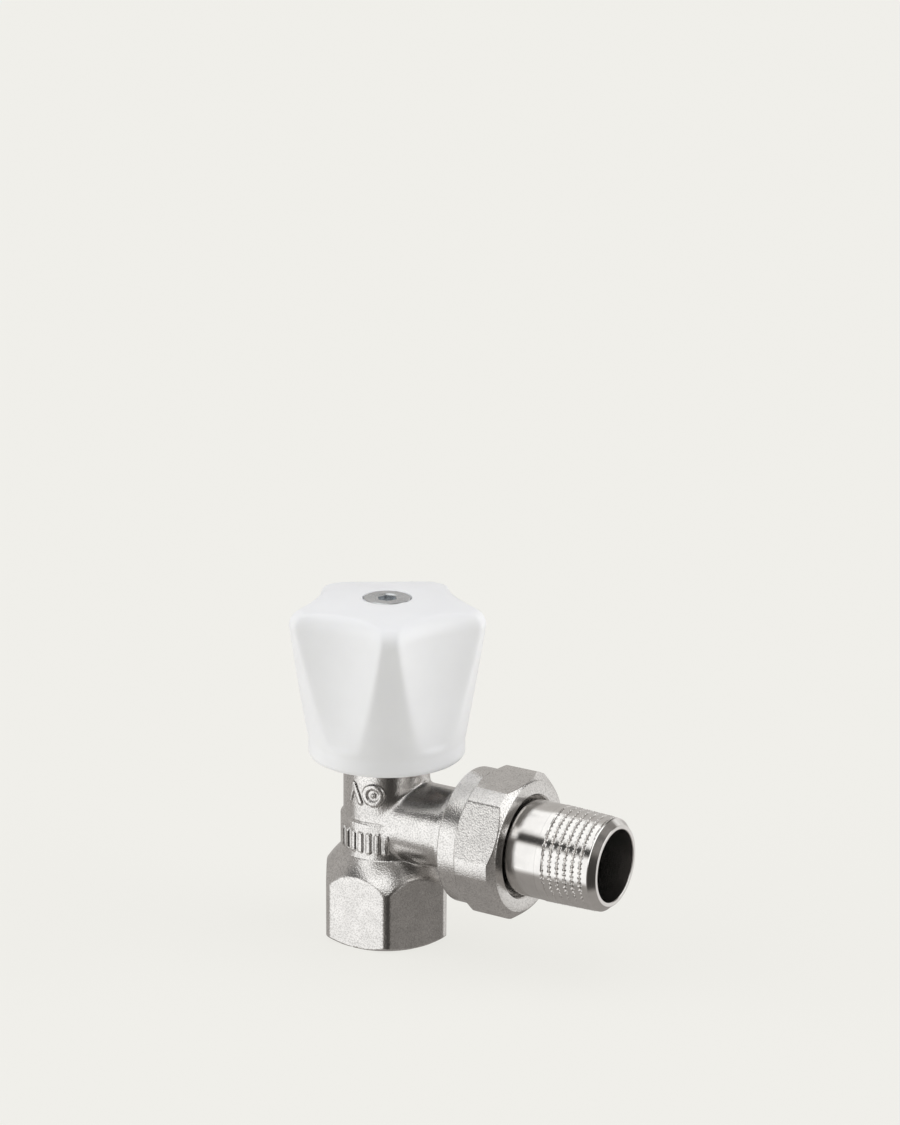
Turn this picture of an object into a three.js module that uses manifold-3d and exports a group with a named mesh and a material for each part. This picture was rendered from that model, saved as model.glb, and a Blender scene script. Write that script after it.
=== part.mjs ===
// Angle-pattern manual radiator valve, DN 15, with a five-lobed handwheel and a union tail.
//
// Units are millimetres. The origin is the centre of the foot's lower face. +Z runs up the spindle
// and +X runs out along the union, towards the radiator. The valve is drawn closed, with the union
// tightened. Mating threads are drawn as plain cylinders at their mean diameters.

import * as THREE from 'three';
import { mergeVertices } from 'three/addons/utils/BufferGeometryUtils.js';
import Module from 'manifold-3d';

const wasm = await Module();
wasm.setup();

// ---- Driving dimensions -------------------------------------------------------------------------

const OUTLET_HEIGHT = 27.5; // foot face to the axis of the union
const OUTLET_REACH = 58.4; // spindle axis to the end of the union tail

const FACE_GAP = 0.1; // between faces that bear on each other
const THIN_GAP = 0.05; // beside a thin ring or washer
const FIT_GAP = 0.15; // radial, between a shaft or thread and its hole
const EDGE = 0.5; // chamfer on a turned edge
const OVERRUN = 1; // how far a cutting shape runs past the face that it cuts

// Foot: a hexagon for the spanner around the G 1/2 inlet socket.
const FOOT_ACROSS_FLATS = 27;
const FOOT_CORNER_RADIUS = 15.1;
const FOOT_FACE_RADIUS = 13.5;
const FOOT_CHAMFER = 0.95;
const FOOT_TURN = THREE.MathUtils.degToRad(2.5); // of one corner from +X
const SOCKET_RADIUS = 9.3;
const SOCKET_MOUTH_RADIUS = 10.6;
const SOCKET_DEPTH = 14.5;
const SOCKET_RUN_OUT = 1; // cone from the socket down to the seat's bore

// Neck: the upright barrel, wider below the outlet than above it.
const SHOULDER_START = 13.6;
const SHOULDER_END = 20.2;
const SHOULDER_BEND = [13.6, 17]; // radius and height that the shoulder's curve bends towards
const BARREL_RADIUS = 10.35;
const BARREL_TOP = 28.4;
const NECK_RADIUS = 9.7;
const NECK_TOP = 44.6;

// Water way.
const SEAT_RADIUS = 5.6;
const SEAT_RIM_RADIUS = 6.4;
const SEAT_Z = 19.8;
const CHAMBER_RADIUS = 7.4;
const CHAMBER_FLOOR = 19;
const CHAMBER_TOP = 34.2;
const BONNET_BORE_RADIUS = 8;

// Outlet branch and the G 3/4 boss that the union nut screws onto.
const BRANCH_RADIUS = 9.1;
const BRANCH_BORE_RADIUS = 7;
const FLARE_START = 18.7;
const FLARE_END = 22.1;
const FLARE_RADIUS = 13;
const FLARE_BEND = [9.7, 22.1]; // radius and height that the flare's curve bends towards
const BOSS_RADIUS = 12.6;
const BOSS_END = 31.4;
const CONE_ROOT_RADIUS = 8.2;
const CONE_ROOT_X = 29.6;

// Bonnet, gland and spindle.
const BONNET_BOTTOM = 34.9;
const BONNET_ACROSS_FLATS = 19;
const BONNET_HEX_TOP = 50.9;
const BONNET_TOP = 54;
const BONNET_NOSE_RADIUS = 8.4;
const BONNET_FLANGE = 1; // height of the round flange below the hexagon
const SEAL_RING_THICKNESS = 0.7;
const GLAND_RADIUS = 6.2;
const GLAND_FLOOR = 46.9;
const GLAND_THREAD_RADIUS = 6.8;
const GLAND_THREAD_FLOOR = 52.2;
const GLAND_NUT_ACROSS_FLATS = 14;
const GLAND_NUT_TOP = 57.2;
const STEM_RADIUS = 4.25;
const SPINDLE_THREAD_RADIUS = 4.8;
const SPINDLE_THREAD_DEPTH = 0.6;
const SPINDLE_THREAD_START = 31.8;
const SPINDLE_THREAD_END = 42;
const RELIEF_RADIUS = 5.4;
const RELIEF_TOP = 46;
const O_RING_CORD_RADIUS = 0.9;
const BACKUP_WASHER_THICKNESS = 0.6;
const SPLINE_TEETH = 18;
const SPLINE_DEPTH = 0.55;
const SPLINE_START = 61;
const SPINDLE_TOP = 72.2;
const SCREW_CORE_RADIUS = 2.75;

// Plug: the soft disc that closes on the seat, and what carries it.
const PLUG_RADIUS = 6.6;
const DISC_THICKNESS = 2.3;
const DISC_HOLE_RADIUS = 2.05;
const DISC_WASHER_RADIUS = 4.6;
const DISC_WASHER_THICKNESS = 0.65;
const DISC_SCREW_RADIUS = 1.9;
const DISC_SCREW_HEAD_RADIUS = 3.4;
const DISC_SCREW_HEAD_FLAT_RADIUS = 2.2;
const DISC_SCREW_HEAD_HEIGHT = 2;
const DISC_SCREW_SLOT_WIDTH = 0.9;
const DISC_SCREW_SLOT_DEPTH = 1;
const CUP_FLOOR = 24.5;
const CUP_NECK = 1.2; // how much slimmer the cup is above its floor
const CUP_RADIUS = 3.6;
const PLUG_TOP = 28.5;
const CLIP_Z = 26;
const CLIP_THICKNESS = 0.9;
const CLIP_INNER_RADIUS = 2.6;
const CLIP_OUTER_RADIUS = 3.95;
const CLIP_GAP = 1.6; // opening of the ring
const CLIP_GROOVE_BOTTOM = 25.8;
const CLIP_GROOVE_TOP = 27.1;
const SPINDLE_FOOT_RADIUS = 3.4;
const SPINDLE_COLLAR_Z = 28.8; // where the spindle widens above the cup
const STOP_RING_Z = 30;
const STOP_RING_THICKNESS = 1;
const STOP_RING_INNER_RADIUS = 4;
const STOP_RING_OUTER_RADIUS = 5.9;
const STOP_RING_GAP = 2;

// Handwheel: a tapering shell with five lobes, flared towards the top.
const LOBES = 5;
const FIRST_LOBE = THREE.MathUtils.degToRad(16.3);
const WHEEL_RIM_Z = 41.8;
const WHEEL_RIM_RADIUS = 17.5;
const WHEEL_FLARE_Z = 46;
const WHEEL_FLARE_SLOPE = 0.1735; // growth of the lobes' radius per millimetre of height
const WHEEL_SIDE_TOP = 73.35; // where the wall starts to round over into the crown
const WHEEL_TOP_EDGE = 77.1;
const WHEEL_CROWN = 78.15;
const WHEEL_EDGE_ROUND = 3.25;
const WHEEL_RIM_ROUND = 1.4;
const SCALLOP_RADIUS = 40;
const SCALLOP_LOW_RADIUS = 17.3;
const SCALLOP_HIGH_RADIUS = 17.45;
const SCALLOP_BLEND = 0.7;
const WHEEL_WALL = 2.2;
const WHEEL_CEILING = 73.6;
const CEILING_BEVEL = 2;
const CAVITY_MIDDLES = [55, 64]; // heights between the flare and the ceiling
const HUB_RADIUS = 7.4;
const HUB_BOTTOM = 57.9;
const HUB_WEB_BOTTOM = 72.4;
const HUB_WEB_TOP = 73;
const COUNTERBORE_RADIUS = 5.45;
const SCREW_HOLE_RADIUS = 3.3;
const RIB_THICKNESS = 1.4;
const RIB_BOTTOM = 62;

// Handwheel screw: a low cylinder head with a hexagon socket, M6.
const SCREW_HEAD_RADIUS = 5.19;
const SCREW_TOP = 78.2;
const SCREW_TIP = 60;
const SCREW_SOCKET_ACROSS_FLATS = 4;
const SCREW_SOCKET_DEPTH = 2.2;
const SCREW_WASHER_THICKNESS = 0.65;
const SCREW_WASHER_HOLE_RADIUS = 3.2;
const SCREW_HEAD_EDGE = 0.35;

// Union nut, and the tail that it draws onto the boss.
const NUT_BACK = 22.4;
const NUT_COLLAR_END = 26.8;
const NUT_COLLAR_RADIUS = 15.1;
const NUT_ACROSS_FLATS = 30;
const NUT_CORNER_RADIUS = 16.35;
const NUT_REAR_CHAMFER = 1.05; // length along the axis
const NUT_FRONT_CHAMFER = 1.33;
const NUT_FRONT = 37;
const NUT_FRONT_RADIUS = 14.6;
const NUT_WALL_BACK = 34.1;
const NUT_HOLE_RADIUS = 11.4;
const NUT_LEAD = 0.7; // chamfer that leads the boss into the nut
const NUT_FIRST_CORNER = THREE.MathUtils.degToRad(35.2);
const TAIL_COLLAR_RADIUS = 11.95;
const TAIL_COLLAR_BACK = 31.55;
const TAIL_NOSE = 30.3; // where the tail's cone starts inside the boss
const TAIL_CONE_GAP = 0.25;
const TAIL_RADIUS = 10.58;
const TAIL_BORE_RADIUS = 8;
const TAIL_END_RADIUS = 8.87;
const TAIL_THREAD_START = 45;
const TAIL_BEVEL_START = 56.9;
const TAIL_BEVEL_RADIUS = 10.1;
const PIPE_THREAD_PITCH = 1.814;
const PIPE_THREAD_DEPTH = 0.9;
const PIPE_THREAD_TURNS = 6;
const PIPE_THREAD_CREST = 10.42; // radius halfway along the thread
const PIPE_THREAD_TAPER = 1 / 32; // change of radius per millimetre

const FINE = 36; // segments round a large visible piece
const COARSE = 20; // segments round a small or hidden piece
const WHEEL_SEGMENTS = 8 * LOBES;

// ---- Geometry helpers ---------------------------------------------------------------------------

const UPRIGHT = new THREE.Matrix4();
const ALONG_OUTLET = new THREE.Matrix4().makeRotationY(Math.PI / 2).setPosition(0, 0, OUTLET_HEIGHT);

// A closed three.js geometry as a solid that can be joined and cut.
function solidOf(geometry, placement = UPRIGHT) {
  const bare = geometry.clone().applyMatrix4(placement);
  bare.deleteAttribute('normal');
  bare.deleteAttribute('uv');
  const merged = mergeVertices(bare, 1e-4);
  const corners = merged.index.array;
  const kept = [];
  for (let i = 0; i < corners.length; i += 3) {
    const [a, b, c] = corners.slice(i, i + 3);
    if (a !== b && b !== c && c !== a) kept.push(a, b, c);
  }
  return new wasm.Manifold(new wasm.Mesh({
    numProp: 3,
    vertProperties: merged.attributes.position.array,
    triVerts: new Uint32Array(kept),
  }));
}

// Twice the signed area of a closed outline, positive when it runs anticlockwise.
function turning(points) {
  return points.reduce((sum, [r, z], i) => {
    const [nextR, nextZ] = points[(i + 1) % points.length];
    return sum + r * nextZ - nextR * z;
  }, 0);
}

// The solid made by turning an outline of [radius, height] points about the placement's Z axis.
// An outline that doesn't start on the axis is closed on itself, which makes a ring.
function revolve(outline, segments = COARSE, placement = UPRIGHT) {
  const points = turning(outline) < 0 ? [...outline].reverse() : [...outline];
  if (points[0][0] > 0) points.push(points[0]);
  const lathe = new THREE.LatheGeometry(points.map(([r, z]) => new THREE.Vector2(r, z)), segments);
  lathe.rotateX(Math.PI / 2);
  return solidOf(lathe, placement);
}

function cylinder(radius, bottom, top, segments = COARSE, placement = UPRIGHT) {
  return revolve([[0, bottom], [radius, bottom], [radius, top], [0, top]], segments, placement);
}

function ring(inner, outer, bottom, top, segments = COARSE) {
  return revolve([[inner, bottom], [outer, bottom], [outer, top], [inner, top]], segments);
}

// A vertical prism on a closed outline of [x, y] points.
function prism(points, bottom, top) {
  const shape = new THREE.Shape(points.map(([x, y]) => new THREE.Vector2(x, y)));
  const extruded = new THREE.ExtrudeGeometry(shape, { depth: top - bottom, bevelEnabled: false });
  extruded.translate(0, 0, bottom);
  return solidOf(extruded);
}

function hexagon(acrossFlats, bottom, top, firstCorner = 0) {
  const cornerRadius = acrossFlats / Math.sqrt(3);
  const corners = Array.from({ length: 6 }, (_, i) => firstCorner + (i * Math.PI) / 3);
  return prism(corners.map((a) => [cornerRadius * Math.cos(a), cornerRadius * Math.sin(a)]), bottom, top);
}

// A hexagon whose corners are turned off at the top and bottom, as on a nut.
function turnedHexagon(acrossFlats, bottom, top, chamfer) {
  const corner = acrossFlats / Math.sqrt(3);
  const face = acrossFlats / 2 - 0.2;
  const turned = revolve([
    [0, bottom], [face, bottom], [corner, bottom + chamfer],
    [corner, top - chamfer], [face, top], [0, top],
  ]);
  return turned.intersect(hexagon(acrossFlats, bottom - 1, top + 1));
}

// A serrated shaft of round-bottomed teeth, drawn with straight flanks.
function splinedShaft(major, bottom, top) {
  const points = Array.from({ length: SPLINE_TEETH * 2 }, (_, i) => {
    const radius = i % 2 ? major - SPLINE_DEPTH : major;
    const angle = (i * Math.PI) / SPLINE_TEETH;
    return [radius * Math.cos(angle), radius * Math.sin(angle)];
  });
  return prism(points, bottom, top);
}

function box(sizeX, sizeY, bottom, top, x = 0, y = 0, turn = 0) {
  const block = new THREE.BoxGeometry(sizeX, sizeY, top - bottom);
  block.translate(x, y, (bottom + top) / 2);
  block.rotateZ(turn);
  return solidOf(block);
}

// Points of a curve from one [radius, height] point to another, bent towards a control point.
function bend(from, control, to, steps) {
  const [a, b, c] = [from, control, to].map(([r, z]) => new THREE.Vector2(r, z));
  return new THREE.QuadraticBezierCurve(a, b, c).getPoints(steps).map((p) => [p.x, p.y]);
}

function piece(name, solid, { color, roughness, metalness }) {
  const { vertProperties, triVerts } = solid.getMesh();
  const geometry = new THREE.BufferGeometry();
  geometry.setAttribute('position', new THREE.BufferAttribute(new Float32Array(vertProperties), 3));
  geometry.setIndex(new THREE.BufferAttribute(new Uint32Array(triVerts), 1));
  geometry.computeVertexNormals();
  const mesh = new THREE.Mesh(geometry, new THREE.MeshStandardMaterial({ color, roughness, metalness }));
  mesh.name = name;
  return mesh;
}

// ---- Materials ----------------------------------------------------------------------------------

const BLASTED_NICKEL = { color: 0xb4b1a9, roughness: 0.42, metalness: 1 };
const TURNED_NICKEL = { color: 0xc8c6c0, roughness: 0.2, metalness: 1 };
const BARE_BRASS = { color: 0xb9974f, roughness: 0.35, metalness: 1 };
const ZINC_STEEL = { color: 0xaeb3b6, roughness: 0.3, metalness: 1 };
const SPRING_STEEL = { color: 0x6d6f70, roughness: 0.35, metalness: 1 };
const BLACK_RUBBER = { color: 0x161616, roughness: 0.8, metalness: 0 };
const RED_FIBRE = { color: 0x7a3328, roughness: 0.9, metalness: 0 };
const WHITE_PLASTIC = { color: 0xf1f1ef, roughness: 0.35, metalness: 0 };

// ---- Body ---------------------------------------------------------------------------------------

function valveBody() {
  const upright = revolve([
    [0, 0],
    [FOOT_FACE_RADIUS, 0],
    [FOOT_CORNER_RADIUS, FOOT_CHAMFER],
    ...bend([FOOT_CORNER_RADIUS, SHOULDER_START], SHOULDER_BEND, [BARREL_RADIUS, SHOULDER_END], 6),
    [BARREL_RADIUS, BARREL_TOP],
    [NECK_RADIUS, BARREL_TOP + EDGE],
    [NECK_RADIUS, NECK_TOP - EDGE],
    [NECK_RADIUS - EDGE, NECK_TOP],
    [0, NECK_TOP],
  ], FINE);
  const spannerHexagon = hexagon(FOOT_ACROSS_FLATS, -OVERRUN, NECK_TOP + OVERRUN, FOOT_TURN);
  const barrel = upright.intersect(spannerHexagon);

  const branch = revolve([
    [0, 0],
    [BRANCH_RADIUS, 0],
    ...bend([BRANCH_RADIUS, FLARE_START], FLARE_BEND, [FLARE_RADIUS, FLARE_END], 4),
    [BOSS_RADIUS, FLARE_END + 0.3],
    [BOSS_RADIUS, BOSS_END - EDGE],
    [BOSS_RADIUS - EDGE, BOSS_END],
    [0, BOSS_END],
  ], FINE, ALONG_OUTLET);

  const mouthChamfer = SOCKET_MOUTH_RADIUS - SOCKET_RADIUS;
  const uprightBore = revolve([
    [0, -OVERRUN],
    [SOCKET_MOUTH_RADIUS + OVERRUN, -OVERRUN],
    [SOCKET_RADIUS, mouthChamfer],
    [SOCKET_RADIUS, SOCKET_DEPTH],
    [SEAT_RADIUS, SOCKET_DEPTH + SOCKET_RUN_OUT],
    [SEAT_RADIUS, SEAT_Z],
    [SEAT_RIM_RADIUS, SEAT_Z],
    [SEAT_RIM_RADIUS, CHAMBER_FLOOR],
    [CHAMBER_RADIUS, CHAMBER_FLOOR],
    [CHAMBER_RADIUS, CHAMBER_TOP],
    [BONNET_BORE_RADIUS, CHAMBER_TOP + 0.6],
    [BONNET_BORE_RADIUS, NECK_TOP + OVERRUN],
    [0, NECK_TOP + OVERRUN],
  ], COARSE);

  const coneDepth = BOSS_END + OVERRUN - CONE_ROOT_X;
  const outletBore = revolve([
    [0, 0],
    [BRANCH_BORE_RADIUS, 0],
    [BRANCH_BORE_RADIUS, CONE_ROOT_X],
    [CONE_ROOT_RADIUS, CONE_ROOT_X],
    [CONE_ROOT_RADIUS + coneDepth, BOSS_END + OVERRUN],
    [0, BOSS_END + OVERRUN],
  ], COARSE, ALONG_OUTLET);

  return barrel.add(branch).subtract(uprightBore).subtract(outletBore);
}

// ---- Bonnet and gland ---------------------------------------------------------------------------

const SEAL_RING_BOTTOM = NECK_TOP + THIN_GAP;
const SEAL_RING_TOP = SEAL_RING_BOTTOM + SEAL_RING_THICKNESS;
const BONNET_FLANGE_Z = SEAL_RING_TOP + THIN_GAP;

function bonnet() {
  const threadRadius = BONNET_BORE_RADIUS - FIT_GAP;
  const turned = revolve([
    [0, BONNET_BOTTOM],
    [threadRadius - EDGE, BONNET_BOTTOM],
    [threadRadius, BONNET_BOTTOM + EDGE],
    [threadRadius, BONNET_FLANGE_Z],
    [NECK_RADIUS, BONNET_FLANGE_Z],
    [NECK_RADIUS, BONNET_FLANGE_Z + BONNET_FLANGE],
    [BONNET_NOSE_RADIUS, BONNET_FLANGE_Z + BONNET_FLANGE],
    [BONNET_NOSE_RADIUS, BONNET_TOP - EDGE],
    [BONNET_NOSE_RADIUS - EDGE, BONNET_TOP],
    [0, BONNET_TOP],
  ]);
  const hexagonBottom = BONNET_FLANGE_Z + BONNET_FLANGE / 2;
  const spannerHexagon = turnedHexagon(BONNET_ACROSS_FLATS, hexagonBottom, BONNET_HEX_TOP, 0.7);
  const nutRadius = SPINDLE_THREAD_RADIUS + FIT_GAP;
  const bore = revolve([
    [0, BONNET_BOTTOM - OVERRUN],
    [nutRadius, BONNET_BOTTOM - OVERRUN],
    [nutRadius, SPINDLE_THREAD_END - EDGE],
    [RELIEF_RADIUS, SPINDLE_THREAD_END - EDGE],
    [RELIEF_RADIUS, RELIEF_TOP],
    [STEM_RADIUS + FIT_GAP, RELIEF_TOP],
    [STEM_RADIUS + FIT_GAP, GLAND_FLOOR],
    [GLAND_RADIUS, GLAND_FLOOR],
    [GLAND_RADIUS, GLAND_THREAD_FLOOR],
    [GLAND_THREAD_RADIUS, GLAND_THREAD_FLOOR],
    [GLAND_THREAD_RADIUS, BONNET_TOP + OVERRUN],
    [0, BONNET_TOP + OVERRUN],
  ]);
  return turned.add(spannerHexagon).subtract(bore);
}

function bonnetSealRing() {
  return ring(BONNET_BORE_RADIUS + FACE_GAP, NECK_RADIUS - FACE_GAP, SEAL_RING_BOTTOM, SEAL_RING_TOP);
}

// What fills the gland, from its floor up: each entry is [bottom, top].
const BACKUP_WASHER = stackedOn(GLAND_FLOOR, BACKUP_WASHER_THICKNESS);
const LOWER_O_RING = stackedOn(BACKUP_WASHER[1], 2 * O_RING_CORD_RADIUS);
const UPPER_O_RING = stackedOn(LOWER_O_RING[1], 2 * O_RING_CORD_RADIUS);
const FOLLOWER = [UPPER_O_RING[1] + THIN_GAP, GLAND_THREAD_FLOOR];

function stackedOn(top, thickness) {
  return [top + THIN_GAP, top + THIN_GAP + thickness];
}

function glandRing([bottom, top]) {
  return ring(STEM_RADIUS + FIT_GAP, GLAND_RADIUS - FACE_GAP, bottom, top);
}

function stemORing([bottom]) {
  const centreRadius = (STEM_RADIUS + GLAND_RADIUS) / 2 + 0.02;
  const cord = new THREE.EllipseCurve(
    centreRadius, bottom + O_RING_CORD_RADIUS, O_RING_CORD_RADIUS, O_RING_CORD_RADIUS, 0, 2 * Math.PI);
  return revolve(cord.getPoints(10).slice(0, -1).map((p) => [p.x, p.y]));
}

function glandNut() {
  const threadRadius = GLAND_THREAD_RADIUS - FACE_GAP;
  const head = turnedHexagon(GLAND_NUT_ACROSS_FLATS, BONNET_TOP + FACE_GAP, GLAND_NUT_TOP, EDGE);
  const thread = cylinder(threadRadius, GLAND_THREAD_FLOOR + FACE_GAP, BONNET_TOP + OVERRUN);
  const bore = cylinder(STEM_RADIUS + FIT_GAP, GLAND_THREAD_FLOOR - OVERRUN, GLAND_NUT_TOP + OVERRUN);
  return head.add(thread).subtract(bore);
}

// ---- Plug ---------------------------------------------------------------------------------------

const DISC_BOTTOM = SEAT_Z + FACE_GAP;
const DISC_TOP = DISC_BOTTOM + DISC_THICKNESS;
const DISC_WASHER_TOP = DISC_BOTTOM - THIN_GAP;
const DISC_WASHER_BOTTOM = DISC_WASHER_TOP - DISC_WASHER_THICKNESS;

function plugCarrier() {
  const turned = revolve([
    [0, DISC_TOP + THIN_GAP],
    [PLUG_RADIUS - EDGE, DISC_TOP + THIN_GAP],
    [PLUG_RADIUS, DISC_TOP + THIN_GAP + EDGE],
    [PLUG_RADIUS, CUP_FLOOR],
    [PLUG_RADIUS - CUP_NECK, CUP_FLOOR + CUP_NECK],
    [PLUG_RADIUS - CUP_NECK, PLUG_TOP],
    [0, PLUG_TOP],
  ]);
  const grooveRadius = CLIP_OUTER_RADIUS + FIT_GAP;
  const bore = revolve([
    [0, DISC_TOP - OVERRUN],
    [DISC_HOLE_RADIUS, DISC_TOP - OVERRUN],
    [DISC_HOLE_RADIUS, CUP_FLOOR],
    [CUP_RADIUS, CUP_FLOOR],
    [CUP_RADIUS, CLIP_GROOVE_BOTTOM],
    [grooveRadius, CLIP_GROOVE_BOTTOM],
    [grooveRadius, CLIP_GROOVE_TOP],
    [CUP_RADIUS, CLIP_GROOVE_TOP],
    [CUP_RADIUS, PLUG_TOP + OVERRUN],
    [0, PLUG_TOP + OVERRUN],
  ]);
  return turned.subtract(bore);
}

function discGasket() {
  return ring(DISC_HOLE_RADIUS, PLUG_RADIUS - FACE_GAP, DISC_BOTTOM, DISC_TOP);
}

function discWasher() {
  return ring(DISC_HOLE_RADIUS, DISC_WASHER_RADIUS, DISC_WASHER_BOTTOM, DISC_WASHER_TOP);
}

function discScrew() {
  const headTop = DISC_WASHER_BOTTOM - THIN_GAP;
  const headBottom = headTop - DISC_SCREW_HEAD_HEIGHT;
  const domeEdge = [DISC_SCREW_HEAD_RADIUS, headBottom + DISC_SCREW_HEAD_HEIGHT / 2];
  const turned = revolve([
    [0, headBottom],
    ...bend([DISC_SCREW_HEAD_FLAT_RADIUS, headBottom], [DISC_SCREW_HEAD_RADIUS, headBottom], domeEdge, 3),
    [DISC_SCREW_HEAD_RADIUS, headTop],
    [DISC_SCREW_RADIUS, headTop],
    [DISC_SCREW_RADIUS, CUP_FLOOR - EDGE],
    [0, CUP_FLOOR - EDGE],
  ]);
  const slotLength = 2 * (DISC_SCREW_HEAD_RADIUS + OVERRUN);
  const slotTop = headBottom + DISC_SCREW_SLOT_DEPTH;
  return turned.subtract(box(slotLength, DISC_SCREW_SLOT_WIDTH, headBottom - OVERRUN, slotTop));
}

// A snap ring with a gap, so that it can be sprung into its groove.
function snapRing(inner, outer, bottom, thickness, gap) {
  const middle = (inner + outer) / 2;
  const opening = box(outer, gap, bottom - OVERRUN, bottom + thickness + OVERRUN, middle + OVERRUN);
  return ring(inner, outer, bottom, bottom + thickness).subtract(opening);
}

function swivelClip() {
  return snapRing(CLIP_INNER_RADIUS, CLIP_OUTER_RADIUS, CLIP_Z, CLIP_THICKNESS, CLIP_GAP);
}

function spindleStopRing() {
  return snapRing(
    STOP_RING_INNER_RADIUS, STOP_RING_OUTER_RADIUS, STOP_RING_Z, STOP_RING_THICKNESS, STOP_RING_GAP);
}

// ---- Spindle ------------------------------------------------------------------------------------

function spindle() {
  const core = SPINDLE_THREAD_RADIUS - SPINDLE_THREAD_DEPTH;
  const stopGrooveTop = STOP_RING_Z + STOP_RING_THICKNESS + FACE_GAP;
  const clipGrooveRadius = CLIP_INNER_RADIUS - FIT_GAP;
  const ringGrooveRadius = STOP_RING_INNER_RADIUS - FACE_GAP;
  const shaft = revolve([
    [0, CUP_FLOOR + FACE_GAP],
    [SPINDLE_FOOT_RADIUS, CUP_FLOOR + FACE_GAP],
    [SPINDLE_FOOT_RADIUS, CLIP_GROOVE_BOTTOM],
    [clipGrooveRadius, CLIP_GROOVE_BOTTOM],
    [clipGrooveRadius, CLIP_GROOVE_TOP],
    [SPINDLE_FOOT_RADIUS, CLIP_GROOVE_TOP],
    [SPINDLE_FOOT_RADIUS, SPINDLE_COLLAR_Z],
    [core, SPINDLE_COLLAR_Z],
    [core, STOP_RING_Z - FACE_GAP],
    [ringGrooveRadius, STOP_RING_Z - FACE_GAP],
    [ringGrooveRadius, stopGrooveTop],
    [core, stopGrooveTop],
    [SPINDLE_THREAD_RADIUS, SPINDLE_THREAD_START],
    [SPINDLE_THREAD_RADIUS, SPINDLE_THREAD_END],
    [STEM_RADIUS, SPINDLE_THREAD_END],
    [STEM_RADIUS, SPLINE_START],
    [0, SPLINE_START],
  ]);
  const spline = splinedShaft(STEM_RADIUS, SPLINE_START - EDGE, SPINDLE_TOP);
  const tappedHole = cylinder(SCREW_CORE_RADIUS + FIT_GAP, SCREW_TIP - OVERRUN, SPINDLE_TOP + OVERRUN);
  return shaft.add(spline).subtract(tappedHole);
}

// ---- Handwheel ----------------------------------------------------------------------------------

// The wall's radius at a height and at an angle from the middle of the nearest lobe: the flared
// cone of the lobes, cut by one hollow cylinder between each two lobes.
function gripRadius(angle, height) {
  const rise = Math.max(0, height - WHEEL_FLARE_Z);
  const lobe = WHEEL_RIM_RADIUS + rise * WHEEL_FLARE_SLOPE;
  const share = rise / (WHEEL_TOP_EDGE - WHEEL_FLARE_Z);
  const hollowMiddle = THREE.MathUtils.lerp(SCALLOP_LOW_RADIUS, SCALLOP_HIGH_RADIUS, share);
  const centre = SCALLOP_RADIUS + hollowMiddle;
  const fromHollow = Math.PI / LOBES - angle;
  const across = centre * Math.sin(fromHollow);
  const hollow = centre * Math.cos(fromHollow) - Math.sqrt(SCALLOP_RADIUS ** 2 - across ** 2);
  const flatHollow = height > WHEEL_FLARE_Z ? hollow : Infinity;
  return softMinimum(lobe, flatHollow, SCALLOP_BLEND);
}

// The smaller of two lengths, rounded off where they are within the blend of each other.
function softMinimum(a, b, blend) {
  const overlap = Math.max(0, blend - Math.abs(a - b)) / blend;
  return Math.min(a, b) - (overlap ** 2 * blend) / 4;
}

// Angle from the middle of the nearest lobe, between 0 and half a lobe's share of the circle.
function angleFromLobe(angle) {
  const share = (2 * Math.PI) / LOBES;
  const turned = THREE.MathUtils.euclideanModulo(angle - FIRST_LOBE, share);
  return Math.min(turned, share - turned);
}

// Turns rows of { inset, level, height } into a solid of the handwheel's section: each row lies at
// its height, at its inset inside the wall's radius at its level. The first and last rows close it.
function lobedSolid(rows, segments) {
  const outline = [
    new THREE.Vector2(0, rows[0].height),
    ...rows.map(({ height }) => new THREE.Vector2(1, height)),
    new THREE.Vector2(0, rows.at(-1).height),
  ];
  const lathe = new THREE.LatheGeometry(outline, segments);
  lathe.rotateX(Math.PI / 2);
  const position = lathe.getAttribute('position');
  for (let i = 0; i < position.count; i += 1) {
    const row = rows[(i % outline.length) - 1];
    if (row) {
      const angle = Math.atan2(position.getY(i), position.getX(i));
      const radius = row.radius ?? gripRadius(angleFromLobe(angle), row.level) - row.inset;
      position.setX(i, radius * Math.cos(angle));
      position.setY(i, radius * Math.sin(angle));
    }
  }
  return solidOf(lathe);
}

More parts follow.
